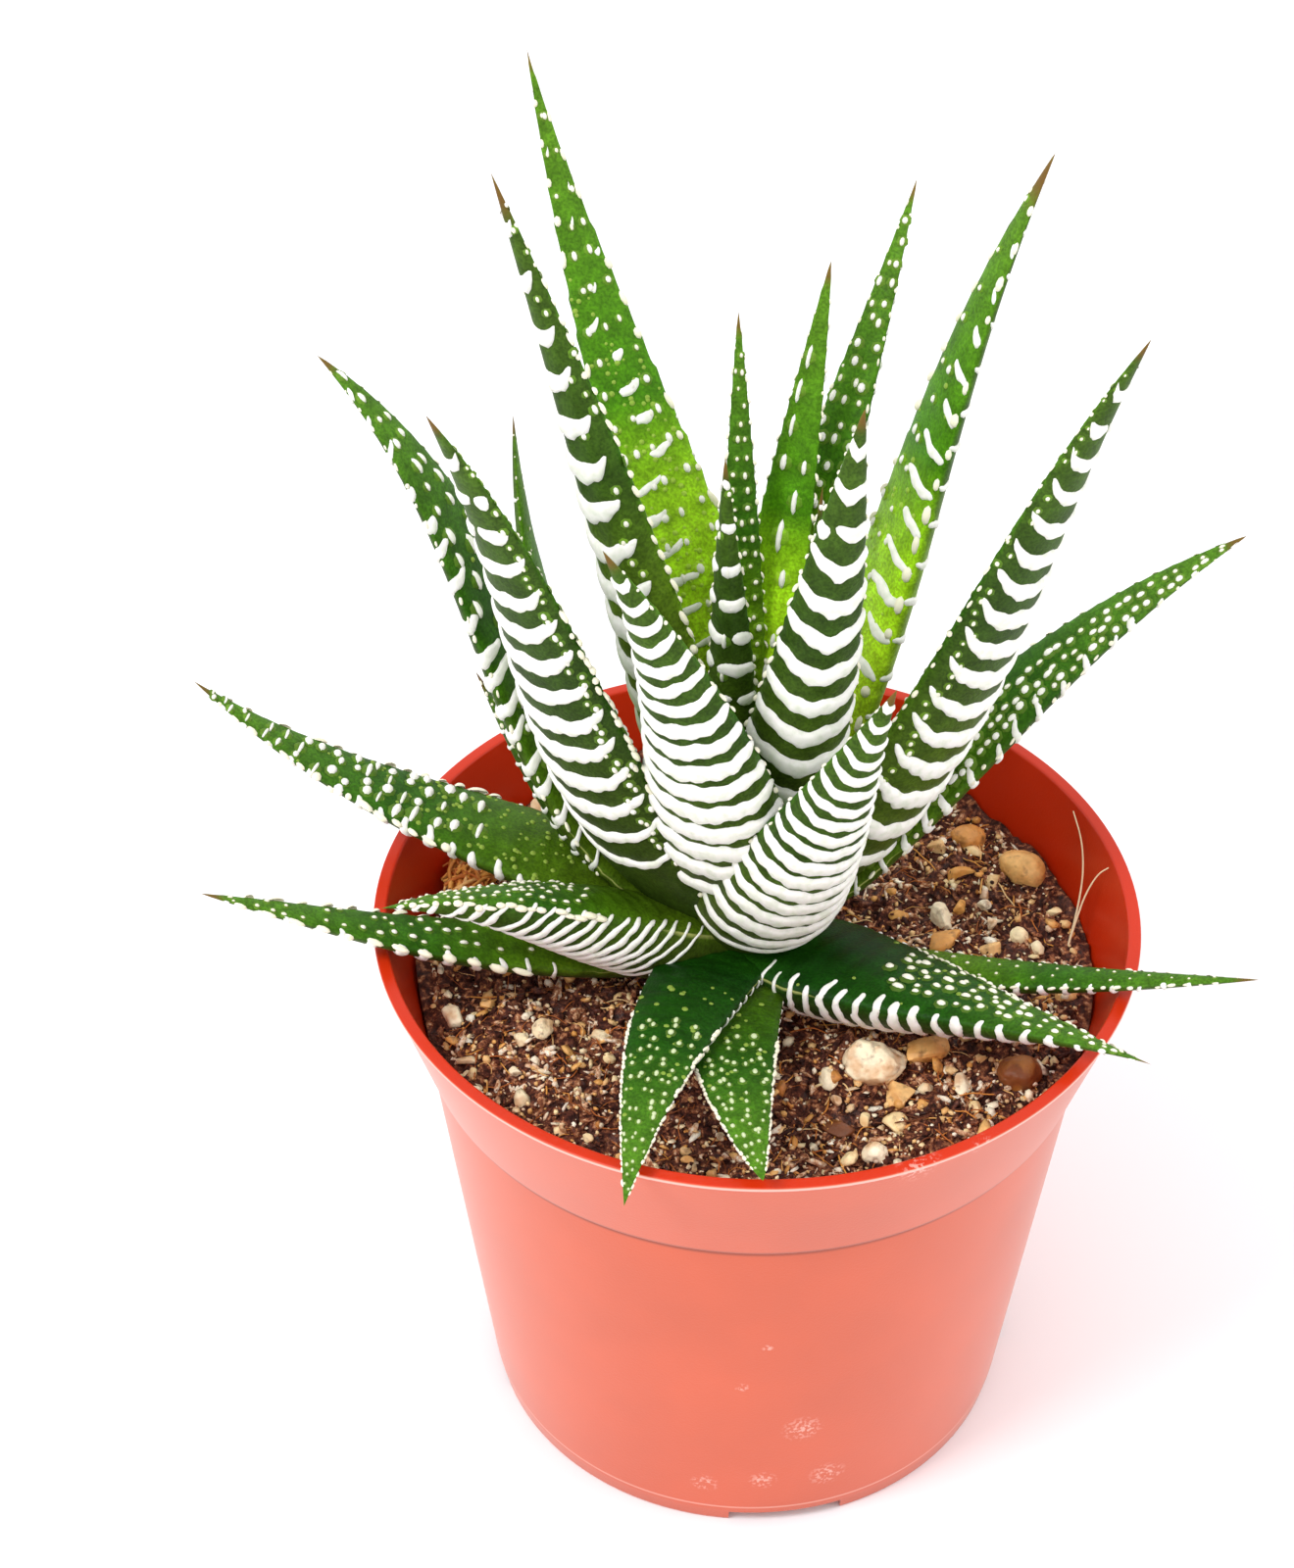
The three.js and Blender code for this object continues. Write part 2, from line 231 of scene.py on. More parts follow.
view = {
    "distance": 424.0,                  # from the pot's axis to the lens
    "aimHeight": 60.0,                  # height on the axis that the distance starts from
    "elevation": 43.6,                  # degrees that the lens is above that height
    "pitch": 40.3, "yaw": -2.4,         # degrees that it looks down, and turns aside
    "lens": 81.0, "sensor": 36.0,
}

studio = {                              # places and sizes in metres, powers in watts
    "worldColor": "#FFFFFF", "worldStrength": 1.15,
    "keyPower": 3.8, "keySize": 0.30, "keyPlace": (-0.42, -0.35, 0.80),
    "fillPower": 0.7, "fillSize": 0.6, "fillPlace": (0.6, -0.1, 0.5),
    "aimHeight": 0.08,                  # where on the pot's axis both lights point
    "floorSize": 4.0, "floorColor": "#F8F7FA",
}


def makeCamera():
    data = bpy.data.cameras.new("camera")
    data.lens = view["lens"]
    data.sensor_width = view["sensor"]
    data.clip_start = 0.01
    camera = addObject("camera", data)
    lift, pitch, yaw = (math.radians(view[key]) for key in ("elevation", "pitch", "yaw"))
    away = view["distance"]
    place = np.array([0, -away * math.cos(lift), view["aimHeight"] + away * math.sin(lift)])
    forward = Vector((math.sin(yaw) * math.cos(pitch), math.cos(yaw) * math.cos(pitch), -math.sin(pitch)))
    camera.location = Vector((place + potAxis) * mm)
    aimObject(camera, forward)
    bpy.context.scene.camera = camera


def addSoftbox(name, power, size, place):
    data = bpy.data.lights.new(name, "AREA")
    data.shape = "DISK"
    data.energy = power
    data.size = size
    light = addObject(name, data)
    light.location = place
    aimObject(light, Vector((potAxis[0] * mm, potAxis[1] * mm, studio["aimHeight"])) - light.location)


def makeStudio():
    world = bpy.data.worlds.new("studio")
    bpy.context.scene.world = world
    world.use_nodes = True
    background = world.node_tree.nodes["Background"]
    background.inputs["Color"].default_value = hexColor(studio["worldColor"])
    background.inputs["Strength"].default_value = studio["worldStrength"]
    for light in ("key", "fill"):
        power, size, place = (studio[light + key] for key in ("Power", "Size", "Place"))
        addSoftbox(light + "Softbox", power, size, place)
    bpy.context.scene.view_settings.view_transform = "Standard"
    half = studio["floorSize"] / 2
    corners = [(-half, -half, 0), (half, -half, 0), (half, half, 0), (-half, half, 0)]
    mesh = bpy.data.meshes.new("floor")
    mesh.from_pydata(corners, [], [(0, 1, 2, 3)])
    floor = addObject("floor", mesh)
    material, tree, shader = newMaterial("matteCard")   # uncoated white card: an even ground, no gloss
    setSurface(tree, shader, {"Base Color": hexColor(studio["floorColor"]), "Roughness": 0.9})
    mesh.materials.append(material)


makeCamera()
makeStudio()
print("camera and studio ready")


# Leaves

plant = {
    "stem": (-2.0, 3.0),                # the stem's place from the pot's axis
    "handleShare": 0.38,                # how far the end directions hold along a leaf's middle line
    "bowShare": 0.67,                   # how much of the sway reaches the middle line's handles
    "keelDepth": 0.72,                  # share of the thickness below the margins
    "footShare": 0.16,                  # part of the length over which the foot widens
    "fullness": 0.95,                   # below 1 the sides bulge a little
    "innerArch": 0.8,                   # how round the inner face is
    "toothDepth": 0.14,                 # as a share of the teeth's spacing
    "toothShift": 0.4,                  # how many teeth the second margin is out of step
    "toothBead": 0.16,                  # how far a bead sits behind the end of its tooth, in teeth
    "beadedTeeth": 0.93,                # share of the teeth that have one
    "ripple": 0.09,                     # swelling of the inner face along with the bands
    "ringStep": 0.5, "sides": 28,       # mesh of the skin: length between rings, points round it
    "bandStep": 0.42, "bandRows": 8,    # mesh of a band: length between points, points across it
    "wart": 2.1, "scallop": 0.42,       # length of one wart in a band, and how deep its scallop is
    "bandNarrowing": 0.58,              # how much a band loses towards its ends
    "bandHeight": (0.16, 0.13),         # as a length, and as a share of the band's width
    "sunk": 0.05,                       # how deep bands and beads sit in the skin
    "oldGreens": [(0.0, "#1E520A"), (0.2, "#0E3606"), (0.55, "#1E4C0A"), (0.9, "#4A761A")],
    # young leaves' greens from foot to tip: their own paler green, made brighter at the foot to paint the
    # light that shines through the leaves
    "youngGreensBacklit": [(0.0, "#E2F83C"), (0.4, "#B4EC22"), (0.6, "#468008"), (0.92, "#507A18")],
    "olive": "#343C18", "pebble": "#A9C455", "membrane": "#C9CC7A", "dryTip": "#6E5226",
    "bandWhites": [(0.32, "#E4E8D8"), (0.58, "#FAF8F1")], "bead": "#F0E8C0", "dullBead": "#B4CC96",
    "stemGreens": [(0.35, "#5C7A26"), (0.65, "#8FA84A")],
}

# What a leaf has unless its row says otherwise. A share runs from 0 to 1, from foot to tip or across a
# face from one margin to the other.
plainLeaf = {
    "start": 3,                         # from the stem's axis to the foot
    "sway": 0, "roll": 0,               # sideways bow, and the turn about the leaf's own line in degrees
    "taper": 0.9, "flare": 0.78,        # how late it narrows, and how wide its foot is
    "dry": 3.0,                         # length of the dry brown tip
    "gather": 0.9,                      # spacing and width of the bands at the foot, against the tip's
    "smile": 0.9, "point": 0.5,         # how far a band bows, and how much of that is a point
    "skew": 0.0,                        # how far one end of a band lies above its middle
    "bare": 0.12,                       # share of the foot without bands
    "span": (0.0, 1.0),                 # part of the outer face that bands cover
    "wrap": (10, 10),                   # degrees that a band's two ends reach round the margins
    "broken": 0.2,                      # how many bands break in two
    "whole": 0.6,                       # 1 where no more of them break near the tip
    "rows": 2.4, "size": 0.38,          # distance between rows of beads on the inner face, bead radius
    "drop": 1.3,                        # a bead's length against its width
    "face": (0.06, 0.94),               # part of the inner face with beads; past 0 or 1 goes round a margin
    "slant": 0.0, "loose": 1.0,         # how far a row's end lies off its middle, how uneven rows are
    "clear": 0.14,                      # share of the foot without beads
    "mound": 1.6,                       # radius of the green swelling under a bead, against the bead's
    "dull": 0.0,                        # how green the beads are
    "pebbles": 0.0,                     # pale bumps between the beads, on each 22 square mm
    "bars": 0.0,                        # share of the rows with a white bar across the inner face
    "barPlace": (0.0, 1.0),             # where across the face its outer end lies
    "barShare": (0.12, 0.3),            # its length, as a share of the face
    "barTilt": 0.0, "barWidth": 1.2,
    "tooth": 2.4, "crust": 0.3,         # distance between the margins' teeth, radius of their beads
    "edges": (True, True),              # which of the two margins has beads
    "inset": 0.0,                       # how far they are turned onto the inner face, in radians
    "plainTip": 0.025,                  # share of the tip without them
}

# One row for each leaf, in the solids' order. lean is its direction round the stem, reach and tip say how
# far out and how high its tip lies, foot is the foot's height, rise and fall are the slopes at its two
# ends. youth runs from dark to bright green. pitch and band are the spacing and width of the white bands
# near the tip, beads is how many stand in a row where the leaf is widest.
leafRows = [
    dict(lean=245, reach=6, tip=139, foot=84, rise=90, fall=86, width=6.5, thick=4, start=2,
         youth=0.15, pitch=5.2, band=1.9, smile=0.6, bare=0.3, broken=1.0, rows=4.8, beads=3, size=0.55,
         drop=1.8, face=(-0.9, 0.9)),
    dict(lean=98, reach=12, tip=146, foot=84, rise=88, fall=75, width=6, thick=3.5, start=2,
         youth=0.25, pitch=3.0, band=1.0, rows=2, beads=3, size=0.42),
    dict(lean=330, reach=9, tip=135, foot=84, rise=78, fall=85, width=5.5, thick=3.5, start=2,
         youth=0.4, dry=4, pitch=3.4, band=1.2, beads=2, size=0.42),
    dict(lean=67, reach=21, tip=148, foot=82, rise=90, fall=70, width=9, thick=4.5,
         youth=1.0, pitch=5.0, band=1.4, rows=4.4, beads=1.7, size=0.7, drop=2.6, clear=0.15, loose=1.6),
    dict(lean=305, reach=20, tip=153, foot=80, rise=72, fall=80, width=12.6, thick=6.5, roll=-25,
         youth=0.12, pitch=5.2, band=2.7, gather=1.0, smile=3.4, point=0.85, skew=-0.7, bare=0.04,
         broken=0.0, rows=2.6, beads=3, size=0.6, loose=1.8, crust=0.34),
    dict(lean=164.5, reach=28.5, tip=165, foot=80, rise=77, fall=70, width=11.5, thick=6, roll=70,
         taper=0.95,
         youth=0.3, dry=6, pitch=5.7, band=3.0, smile=3.4, point=-0.3, skew=-1.8, span=(-0.1, 0.75),
         broken=0.0, whole=1.0, beads=3.4, size=0.5, face=(-0.45, 0.9), tooth=2.2, crust=0.45),
    dict(lean=60, reach=35, tip=152, foot=79, rise=92, fall=62, width=11, thick=5, taper=1,
         youth=0.45, pitch=3.4, band=1.3, rows=2.3, beads=3.8, size=0.66, clear=0.05, loose=1.9,
         tooth=2.6, inset=0.3),
    dict(lean=35.5, reach=39, tip=160, foot=78, rise=54, fall=60, width=14, thick=5.5, sway=2, roll=-13,
         youth=0.85, dry=7, pitch=5.3, band=1.5, rows=4.8, beads=2.8, size=0.56, face=(0.02, 0.6),
         clear=0.2, pebbles=1.0, bars=1.0, barPlace=(0.98, 1.0), barShare=(0.3, 0.62), barTilt=-0.7,
         barWidth=1.6, tooth=4.0, crust=0.62, inset=0.35),
    dict(lean=120, reach=53, tip=158.5, foot=76, rise=91, fall=63, width=16.5, thick=5.5, roll=-2,
         taper=1.15,
         youth=0.85, pitch=5.0, band=1.6, wrap=(20, 20), rows=3.9, beads=4.6, size=0.6, slant=-1.3,
         clear=0.2, pebbles=3.4, bars=0.95, barPlace=(0.0, 1.0), barShare=(0.2, 0.5), barTilt=0.4,
         barWidth=1.15, tooth=4.2, crust=0.58, inset=0.42),
    dict(lean=234, reach=25, tip=137.5, foot=76, rise=62, fall=67, width=18.5, thick=9, start=1, sway=9.5,
         roll=16, taper=1.0,
         youth=0.1, dry=3, pitch=2.9, band=2.15, gather=1.75, smile=2.0, bare=0.1, broken=0.0, whole=1.0,
         beads=5),
    dict(lean=349, reach=41, tip=156.5, foot=72, rise=50, fall=65, width=16, thick=6, roll=-42,
         youth=0.14, pitch=4.4, band=2.4, gather=1.35, smile=3.6, point=-0.4, skew=-0.5, bare=0.1,
         span=(0.17, 1.0), broken=0.0, whole=0.8, rows=1.6, beads=2.6, size=0.36, face=(0.8, 1.2)),
    dict(lean=170, reach=26, tip=137, foot=72, rise=50, fall=88, width=9, thick=4,
         youth=1.0, pitch=9.0, band=0.9, beads=0.8, size=0.26, crust=0.16),
    dict(lean=204.5, reach=36, tip=150, foot=71, rise=53, fall=63, width=17.5, thick=6, roll=29,
         youth=0.04, pitch=4.9, band=2.6, gather=1.0, smile=3.4, point=-0.5, skew=-0.3, bare=0.2,
         span=(0.0, 0.86), broken=0.0, whole=0.85, rows=1.25, beads=2.6, size=0.46, face=(-0.15, 0.12),
         tooth=1.4, crust=0.45, plainTip=0.32),
    dict(lean=306.5, reach=27, tip=121.5, foot=70, rise=54, fall=73, width=17, thick=8.5, start=1.5,
         sway=-6, roll=-30, taper=1.0,
         youth=0.1, dry=3, pitch=2.4, band=1.85, gather=1.7, smile=1.8, skew=-0.8, bare=0.12,
         wrap=(2, 10), broken=0.0, whole=1.0, beads=6),
    dict(lean=158, reach=52.5, tip=134, foot=70, rise=22, fall=34, width=17, thick=5.5, roll=4,
         youth=0.1, pitch=4.2, band=2.1, smile=3.4, bare=0.15, wrap=(10, 60), rows=3.0, beads=3.0,
         size=0.85, drop=1.6, loose=1.8, pebbles=0.3),
    dict(lean=12, reach=57, tip=118, foot=70, rise=39, fall=28, width=13, thick=5.5, roll=9,
         youth=0.1, pitch=4.2, band=1.6, smile=3.4, bare=0.12, wrap=(50, 10), rows=1.6, beads=4.2,
         size=0.62, face=(0.3, 0.94), loose=1.8, pebbles=0.6),
    dict(lean=204, reach=44, tip=85, foot=69, rise=24, fall=5, width=15, thick=11, roll=22, taper=1.1,
         youth=0.1, dry=0, pitch=1.75, band=1.35, gather=0.75, smile=-2.0, skew=-4.4, bare=0.26,
         wrap=(10, 30), broken=0.0, rows=1.4, beads=7.0, size=0.46, clear=0.42, loose=2.4, dull=0.4,
         tooth=1.2, crust=0.55),
    dict(lean=325, reach=56, tip=78, foot=68, rise=6, fall=8, width=18, thick=9, roll=-10, taper=1.3,
         youth=0.0, dry=2, pitch=3.0, band=1.7, gather=0.6, smile=1.0, skew=0.5, bare=0.1, wrap=(44, 20),
         rows=1.9, beads=6.4, size=0.62, face=(0.0, 0.8), clear=0.3, loose=2.6, dull=0.4, pebbles=0.3,
         tooth=1.4, crust=0.46, edges=(True, False)),
    dict(lean=169.5, reach=66, tip=93, foot=68, rise=22, fall=38, width=15.5, thick=5.5, roll=5, taper=1,
         youth=0.1, pitch=3.4, band=1.8, smile=1.4, bare=0.22, wrap=(20, 42), rows=2.4, beads=5.0,
         size=1.0, drop=0.6, clear=0.42, loose=2.4, mound=1.2, pebbles=2.4, tooth=2.3, crust=0.6),
    dict(lean=160, reach=33.5, tip=96, foot=67.5, rise=5, fall=60, width=10, thick=4, roll=20,
         youth=0.2, pitch=2.2, band=0.8, beads=3, tooth=1.3),
    dict(lean=258, reach=54, tip=75, foot=67.5, rise=20, fall=-8, width=12.5, thick=5, sway=-3.5,
         taper=1.0, flare=1,
         youth=0.0, dry=0, pitch=2.4, band=0.9, bare=0.1, rows=1.5, beads=6.0, size=0.42, clear=0.42,
         loose=2.4, mound=1.45, dull=0.9, pebbles=1.0, tooth=0.8, crust=0.34),
    dict(lean=274, reach=50, tip=76.5, foot=66.5, rise=12, fall=6, width=12, thick=4, sway=-4, taper=0.8,
         youth=0.05, dry=0, pitch=2.2, band=0.8, bare=0.1, rows=1.5, beads=6.0, size=0.42, clear=0.44,
         loose=2.4, mound=1.45, dull=0.9, pebbles=1.0, tooth=0.8, crust=0.36),
    dict(lean=196, reach=63, tip=86, foot=66.5, rise=2, fall=26, width=9.5, thick=4.5,
         youth=0.12, pitch=3.6, band=1.6, smile=1.4, bare=0.3, wrap=(15, 44), rows=2.2, beads=3.0,
         size=0.44, clear=0.34, loose=2.2, tooth=3.2, crust=0.62),
    dict(lean=340, reach=62, tip=81, foot=66, rise=6, fall=20, width=6.5, thick=4,
         youth=0.15, pitch=3.0, band=0.9, bare=0.3, wrap=(44, 15), beads=2, size=0.26, tooth=1.6),
    dict(lean=84, reach=36, tip=92, foot=68, rise=15, fall=45, width=13, thick=5,
         youth=0.1, pitch=3.6, band=1.4, beads=5),
    dict(lean=112, reach=33, tip=84, foot=66.5, rise=8, fall=35, width=12, thick=4.5,
         youth=0.1, pitch=3.4, band=1.3, beads=5),
]


def leafLine(leaf):
    # the four control points of the leaf's middle line, as in the solids, and its width direction
    lean, rise, fall = (math.radians(leaf[key]) for key in ("lean", "rise", "fall"))
    out, side = heading(lean)
    up = np.array([0.0, 0.0, 1.0])
    stem = np.array([*plant["stem"], 0.0])
    foot = stem + out * leaf["start"] + up * leaf["foot"]
    tip = stem + out * leaf["reach"] + up * leaf["tip"]
    handle = plant["handleShare"] * np.linalg.norm(tip - foot)
    bow = side * leaf["sway"] * plant["bowShare"]
    first = foot + handle * (out * math.cos(rise) + up * math.sin(rise)) + bow
    second = tip - handle * (out * math.cos(fall) + up * math.sin(fall)) + bow
    return foot, first, second, tip, side


def leafAxes(leaf, s):
    # middle point, width direction and inner face direction at each s from foot to tip
    p0, p1, p2, p3, side = leafLine(leaf)
    t = np.asarray(s, float)[..., None]
    centre = (1 - t) ** 3 * p0 + 3 * (1 - t) ** 2 * t * p1 + 3 * (1 - t) * t * t * p2 + t ** 3 * p3
    along = unit((1 - t) ** 2 * (p1 - p0) + 2 * (1 - t) * t * (p2 - p1) + t * t * (p3 - p2))
    across = unit(side - (along @ side)[..., None] * along)
    inward = np.cross(along, across)
    roll = math.radians(leaf["roll"])
    return (centre, across * math.cos(roll) + inward * math.sin(roll),
            inward * math.cos(roll) - across * math.sin(roll))


def leafSpread(leaf, s):
    # share of the full width, as in the solids
    base = leaf["flare"] + (1 - leaf["flare"]) * np.minimum(1, s / plant["footShare"])
    return base * np.sin(np.pi / 2 * np.maximum(0, 1 - s) ** leaf["taper"]) ** plant["fullness"]


def leafPoint(leaf, s, turn):
    # a point of the skin: turn 0 and pi are the margins, below pi the inner face, above it the outer
    centre, across, inward = leafAxes(leaf, s)
    spread = leafSpread(leaf, s)
    u = np.cos(turn)
    arch = np.sqrt(np.maximum(0, 1 - u * u))
    wave = s * leaf["length"] / leaf["tooth"] + leaf["phase"] + np.where(u > 0, 0.0, plant["toothShift"])
    point = wave - np.floor(wave)       # each tooth swells slowly and ends abruptly, towards the tip
    tooth = plant["toothDepth"] * leaf["tooth"] * point ** 1.6 * smoothStep(1 - point, 0, 0.22)
    ripple = np.cos(2 * np.pi * (s * leaf["length"] / leaf["pitch"] + leaf["phase"]))
    thick = leaf["thick"] * spread
    outer = -thick * plant["keelDepth"] * arch
    inner = thick * (1 - plant["keelDepth"]) * arch * plant["innerArch"]
    inner = inner + plant["ripple"] * ripple * arch * spread
    y = np.where(np.sin(turn) < 0, outer, inner)
    nearMargin = np.abs(u) ** 12
    x = u * leaf["width"] / 2 * spread + np.sign(u) * tooth * nearMargin * np.sqrt(spread)
    return centre + across * x[..., None] + inward * y[..., None]


def leafSurface(leaf, s, turn):
    # a point with its outward normal and the direction along the leaf
    step = 2e-3
    high = np.minimum(s + step, 0.999)
    rise = leafPoint(leaf, high, turn) - leafPoint(leaf, high - 2 * step, turn)
    swing = leafPoint(leaf, s, turn + 0.01) - leafPoint(leaf, s, turn - 0.01)
    return leafPoint(leaf, s, turn), unit(np.cross(swing, rise)), unit(rise)


def skinPatch(leaf):
    # the green skin, with point attributes that its material reads
    rings, sides = int(leaf["length"] / plant["ringStep"]), plant["sides"]
    s = np.minimum(np.linspace(0, 1, rings), 0.9995)
    grid, angle = np.meshgrid(s, roundTurns(sides), indexing="ij")
    points = leafPoint(leaf, grid, angle)
    ends = np.stack([points[0].mean(axis=0), leafAxes(leaf, np.array([1.0]))[0][0]])
    share = np.concatenate([grid.ravel(), [0.0, 1.0]])
    edge = np.concatenate([(np.abs(np.cos(angle)) > 0.999).ravel(), [0, 0]])
    outer = np.concatenate([smoothStep(-np.sin(angle), -0.1, 0.3).ravel(), [1, 1]])
    left = (1 - share) * leaf["length"]
    dry = 1 - smoothStep(left, leaf["dry"] * 0.4, leaf["dry"] + 0.01)
    return patch(np.concatenate([points.reshape(-1, 3), ends]), closedTube(rings, sides),
                 share=share, youth=leaf["youth"], edge=edge, outer=outer, dry=dry)


def bandPatch(leaf, s, turnFrom, turnTo, width, smile, slope, rng):
    # one raised white ridge: warts that have grown together into a scalloped bar
    probe = np.linspace(turnFrom, turnTo, 40)           # to find its true length round the leaf
    steps = np.linalg.norm(np.diff(leafPoint(leaf, np.full(len(probe), s), probe), axis=0), axis=1)
    arc = np.concatenate([[0], np.cumsum(steps)])
    reach = max(arc[-1], 0.5)
    count = int(np.clip(reach / plant["bandStep"], 7, 48))
    even = np.linspace(0, 1, count)
    t = 0.5 * even + 0.25 - 0.25 * np.cos(np.pi * even)         # closer together at both ends
    turn = np.interp(t * reach, arc, probe)
    x, place, phase = 2 * t - 1, t * reach, rng.uniform(0, 6.28, 5)
    cap = min(1.0, 0.9 * width / reach)                 # share of the band that its round ends take
    ends = np.sqrt(np.maximum(0.0, 1 - np.clip((np.abs(x) - (1 - cap)) / cap, 0, 1) ** 2))
    arm = 1.08 - plant["bandNarrowing"] * np.abs(x) ** 1.5 * min(1.0, reach / 6)
    warts = np.abs(np.sin(place * np.pi / plant["wart"] + phase[0]))
    scallop = 1 + plant["scallop"] * (warts - 0.55) * min(1.0, width)
    upper = 1 + 0.12 * np.sin(place * 2.0 + phase[1])
    wander = 0.16 * np.sin(place * 1.1 + phase[2]) + 0.06 * np.sin(place * 2.9 + phase[3])     # of its line
    bend = smile * np.abs(x) ** (2 - leaf["point"]) + slope * x + wander * min(1.0, width)
    half = width / 2 * ends * arm
    v = np.linspace(-1, 1, plant["bandRows"])
    offset = bend + np.where(v[:, None] < 0, v[:, None] * half * scallop, v[:, None] * half * upper)
    sGrid = np.clip(s + offset / leaf["length"], 0.004, 0.985)
    point, normal, _ = leafSurface(leaf, sGrid, np.broadcast_to(turn, sGrid.shape))
    dome = (1 - np.abs(v) ** 2.6) ** 0.55
    low, more = plant["bandHeight"]
    height = (low + more * width) * ends ** 0.7 * arm ** 0.5
    lift = dome[:, None] * height - plant["sunk"]
    return patch(point + normal * lift[..., None], gridFaces(len(v), count, False), 1)


def domeTemplate(sides, tilts):
    # a unit dome, and its face arrays; tilts are the rings' angles from the top
    turn = roundTurns(sides)
    rings = [np.stack([np.cos(turn) * math.sin(tilt), np.sin(turn) * math.sin(tilt),
                       np.full(sides, math.cos(tilt))], axis=-1) for tilt in np.radians(tilts)]
    top = len(tilts) * sides
    ring = np.arange(sides)
    crown = np.stack([top - sides + ring, top - sides + (ring + 1) % sides, np.full(sides, top)], axis=-1)
    return np.concatenate(rings + [np.array([[0, 0, 1.0]])]), [gridFaces(len(tilts), sides, True), crown]


beadDome = domeTemplate(8, (90, 62, 32))
pebbleDome = domeTemplate(7, (90, 50))


def beadPatch(leaf, dome, s, turn, radius, stretch, height, material=1, **values):
    # many small domes at once, sunk a little into the skin; stretch is along the leaf
    shape, faces = dome
    point, normal, along = leafSurface(leaf, s, turn)
    sideways = np.cross(normal, along)
    x = (along * (radius * stretch)[:, None])[:, None, :] * shape[None, :, 0, None]
    y = (sideways * (radius / np.sqrt(stretch))[:, None])[:, None, :] * shape[None, :, 1, None]
    z = (normal * height[:, None])[:, None, :] * shape[None, :, 2, None]
    points = (point - normal * plant["sunk"])[:, None, :] + x + y + z
    values = {key: np.repeat(np.broadcast_to(value, len(s)), len(shape)) for key, value in values.items()}
    return patch(points, copies(shape, faces, len(s)), material, **values)


def moundPatch(leaf, s, turn, radius, height, pale):
    # low swellings of the green skin
    return beadPatch(leaf, pebbleDome, s, turn, radius, np.ones(len(s)), height, 0,
                     share=s, youth=leaf["youth"], pale=pale)


def marginBeads(leaf, rng):
    # one bead on most teeth of both margins
    allS, allTurn = [], []
    margins = (leaf["inset"], np.pi - leaf["inset"])
    for margin, shift, kept in zip(margins, (0.0, plant["toothShift"]), leaf["edges"]):
        tooth = np.arange(1, leaf["length"] / leaf["tooth"] if kept else 1)
        s = (tooth - plant["toothBead"] - leaf["phase"] - shift) * leaf["tooth"] / leaf["length"]
        s = s[(s > leaf["clear"]) & (s < 1 - leaf["plainTip"])]
        s = s[rng.random(len(s)) < plant["beadedTeeth"]]
        allS.append(s)
        allTurn.append(margin + rng.normal(0, 0.1, len(s)))
    s, turn = np.concatenate(allS), np.concatenate(allTurn)
    radius = leaf["crust"] * (0.6 + 0.5 * leafSpread(leaf, s)) * rng.uniform(0.75, 1.25, len(s))
    stretch = rng.uniform(1.0, 2.2, len(s))
    return beadPatch(leaf, beadDome, s, turn, radius, stretch, radius * 0.9, cream=0.6)


def faceTurn(place):
    # from a share of the inner face's width; below 0 and above 1 it is round the margin
    fold = np.where(place > 1, 2 - place, np.abs(place))
    return np.arccos(1 - 2 * fold) * np.where((place < 0) | (place > 1), -1, 1)


def innerBeads(leaf, rng):
    # beads in loose rows across the inner face, each on a low green swelling
    allS, allPlace = [], []
    for row in range(int(leaf["length"] / leaf["rows"])):
        s = (row + rng.uniform(0.35, 0.65)) * leaf["rows"] / leaf["length"]
        if not leaf["clear"] < s < 0.965:
            continue
        spread = float(leafSpread(leaf, s))
        fading = 0.45 + 0.55 * smoothStep(s, leaf["clear"], leaf["clear"] + 0.15)      # fewer at the foot
        count = int(leaf["beads"] * (0.3 + 0.7 * spread) * fading + rng.random())
        if count == 0:
            continue
        low, high = leaf["face"]
        jitter = rng.uniform(0.2, 0.8, count) + rng.normal(0, 0.1 * (leaf["loose"] - 1), count)
        place = np.clip(low + (high - low) * (np.arange(count) + jitter) / count, low, high)
        u = np.cos(faceTurn(place))
        bow = 0.5 * u ** 2 * spread + leaf["slant"] * u * spread
        allS.append(s + (bow + rng.normal(0, 0.13 * leaf["loose"], count)) / leaf["length"])
        allPlace.append(place)
    s, place = np.clip(np.concatenate(allS), 0.02, 0.97), np.concatenate(allPlace)
    turn = faceTurn(place)
    spread = leafSpread(leaf, s)
    radius = leaf["size"] * (0.5 + 0.5 * spread) * rng.uniform(0.7, 1.15, len(s))
    stretch = np.clip(1 + (leaf["drop"] - 1) * rng.uniform(0.2, 1.8, len(s)), 0.4, 3)
    mounds = moundPatch(leaf, s, turn, radius * leaf["mound"] + 0.1, radius * 0.45 + 0.06, 0.15)
    cream = np.maximum(leaf["dull"], 0.55 - 0.5 * smoothStep(radius, 0.25, 0.5))   # large ones are whiter
    return [mounds, beadPatch(leaf, beadDome, s, turn, radius, stretch, radius * 0.8 + 0.1, cream=cream)]


def innerBars(leaf, rng):
    # bars across the inner face where rows of beads have joined
    patches = []
    for row in range(int(leaf["length"] / leaf["rows"] * 0.94)):
        s = (row + 0.5) * leaf["rows"] / leaf["length"]
        if s < leaf["clear"] + 0.06 or rng.random() > leaf["bars"]:
            continue
        outer, share = rng.uniform(*leaf["barPlace"]), rng.uniform(*leaf["barShare"])
        share *= 0.35 + 0.65 * smoothStep(0.97 - s, 0.05, 0.4)
        inner = outer + share if outer < 0.5 else outer - share
        ends = faceTurn(np.clip([min(outer, inner), max(outer, inner)], 0.04, 0.999))
        tilt = leaf["barTilt"] * rng.uniform(0.7, 1.2)
        width = leaf["barWidth"] * rng.uniform(0.75, 1.15) * min(1.0, 0.5 + float(leafSpread(leaf, s)))
        patches.append(bandPatch(leaf, s, ends[0], ends[1], width, 0.3, tilt, rng))
    return patches


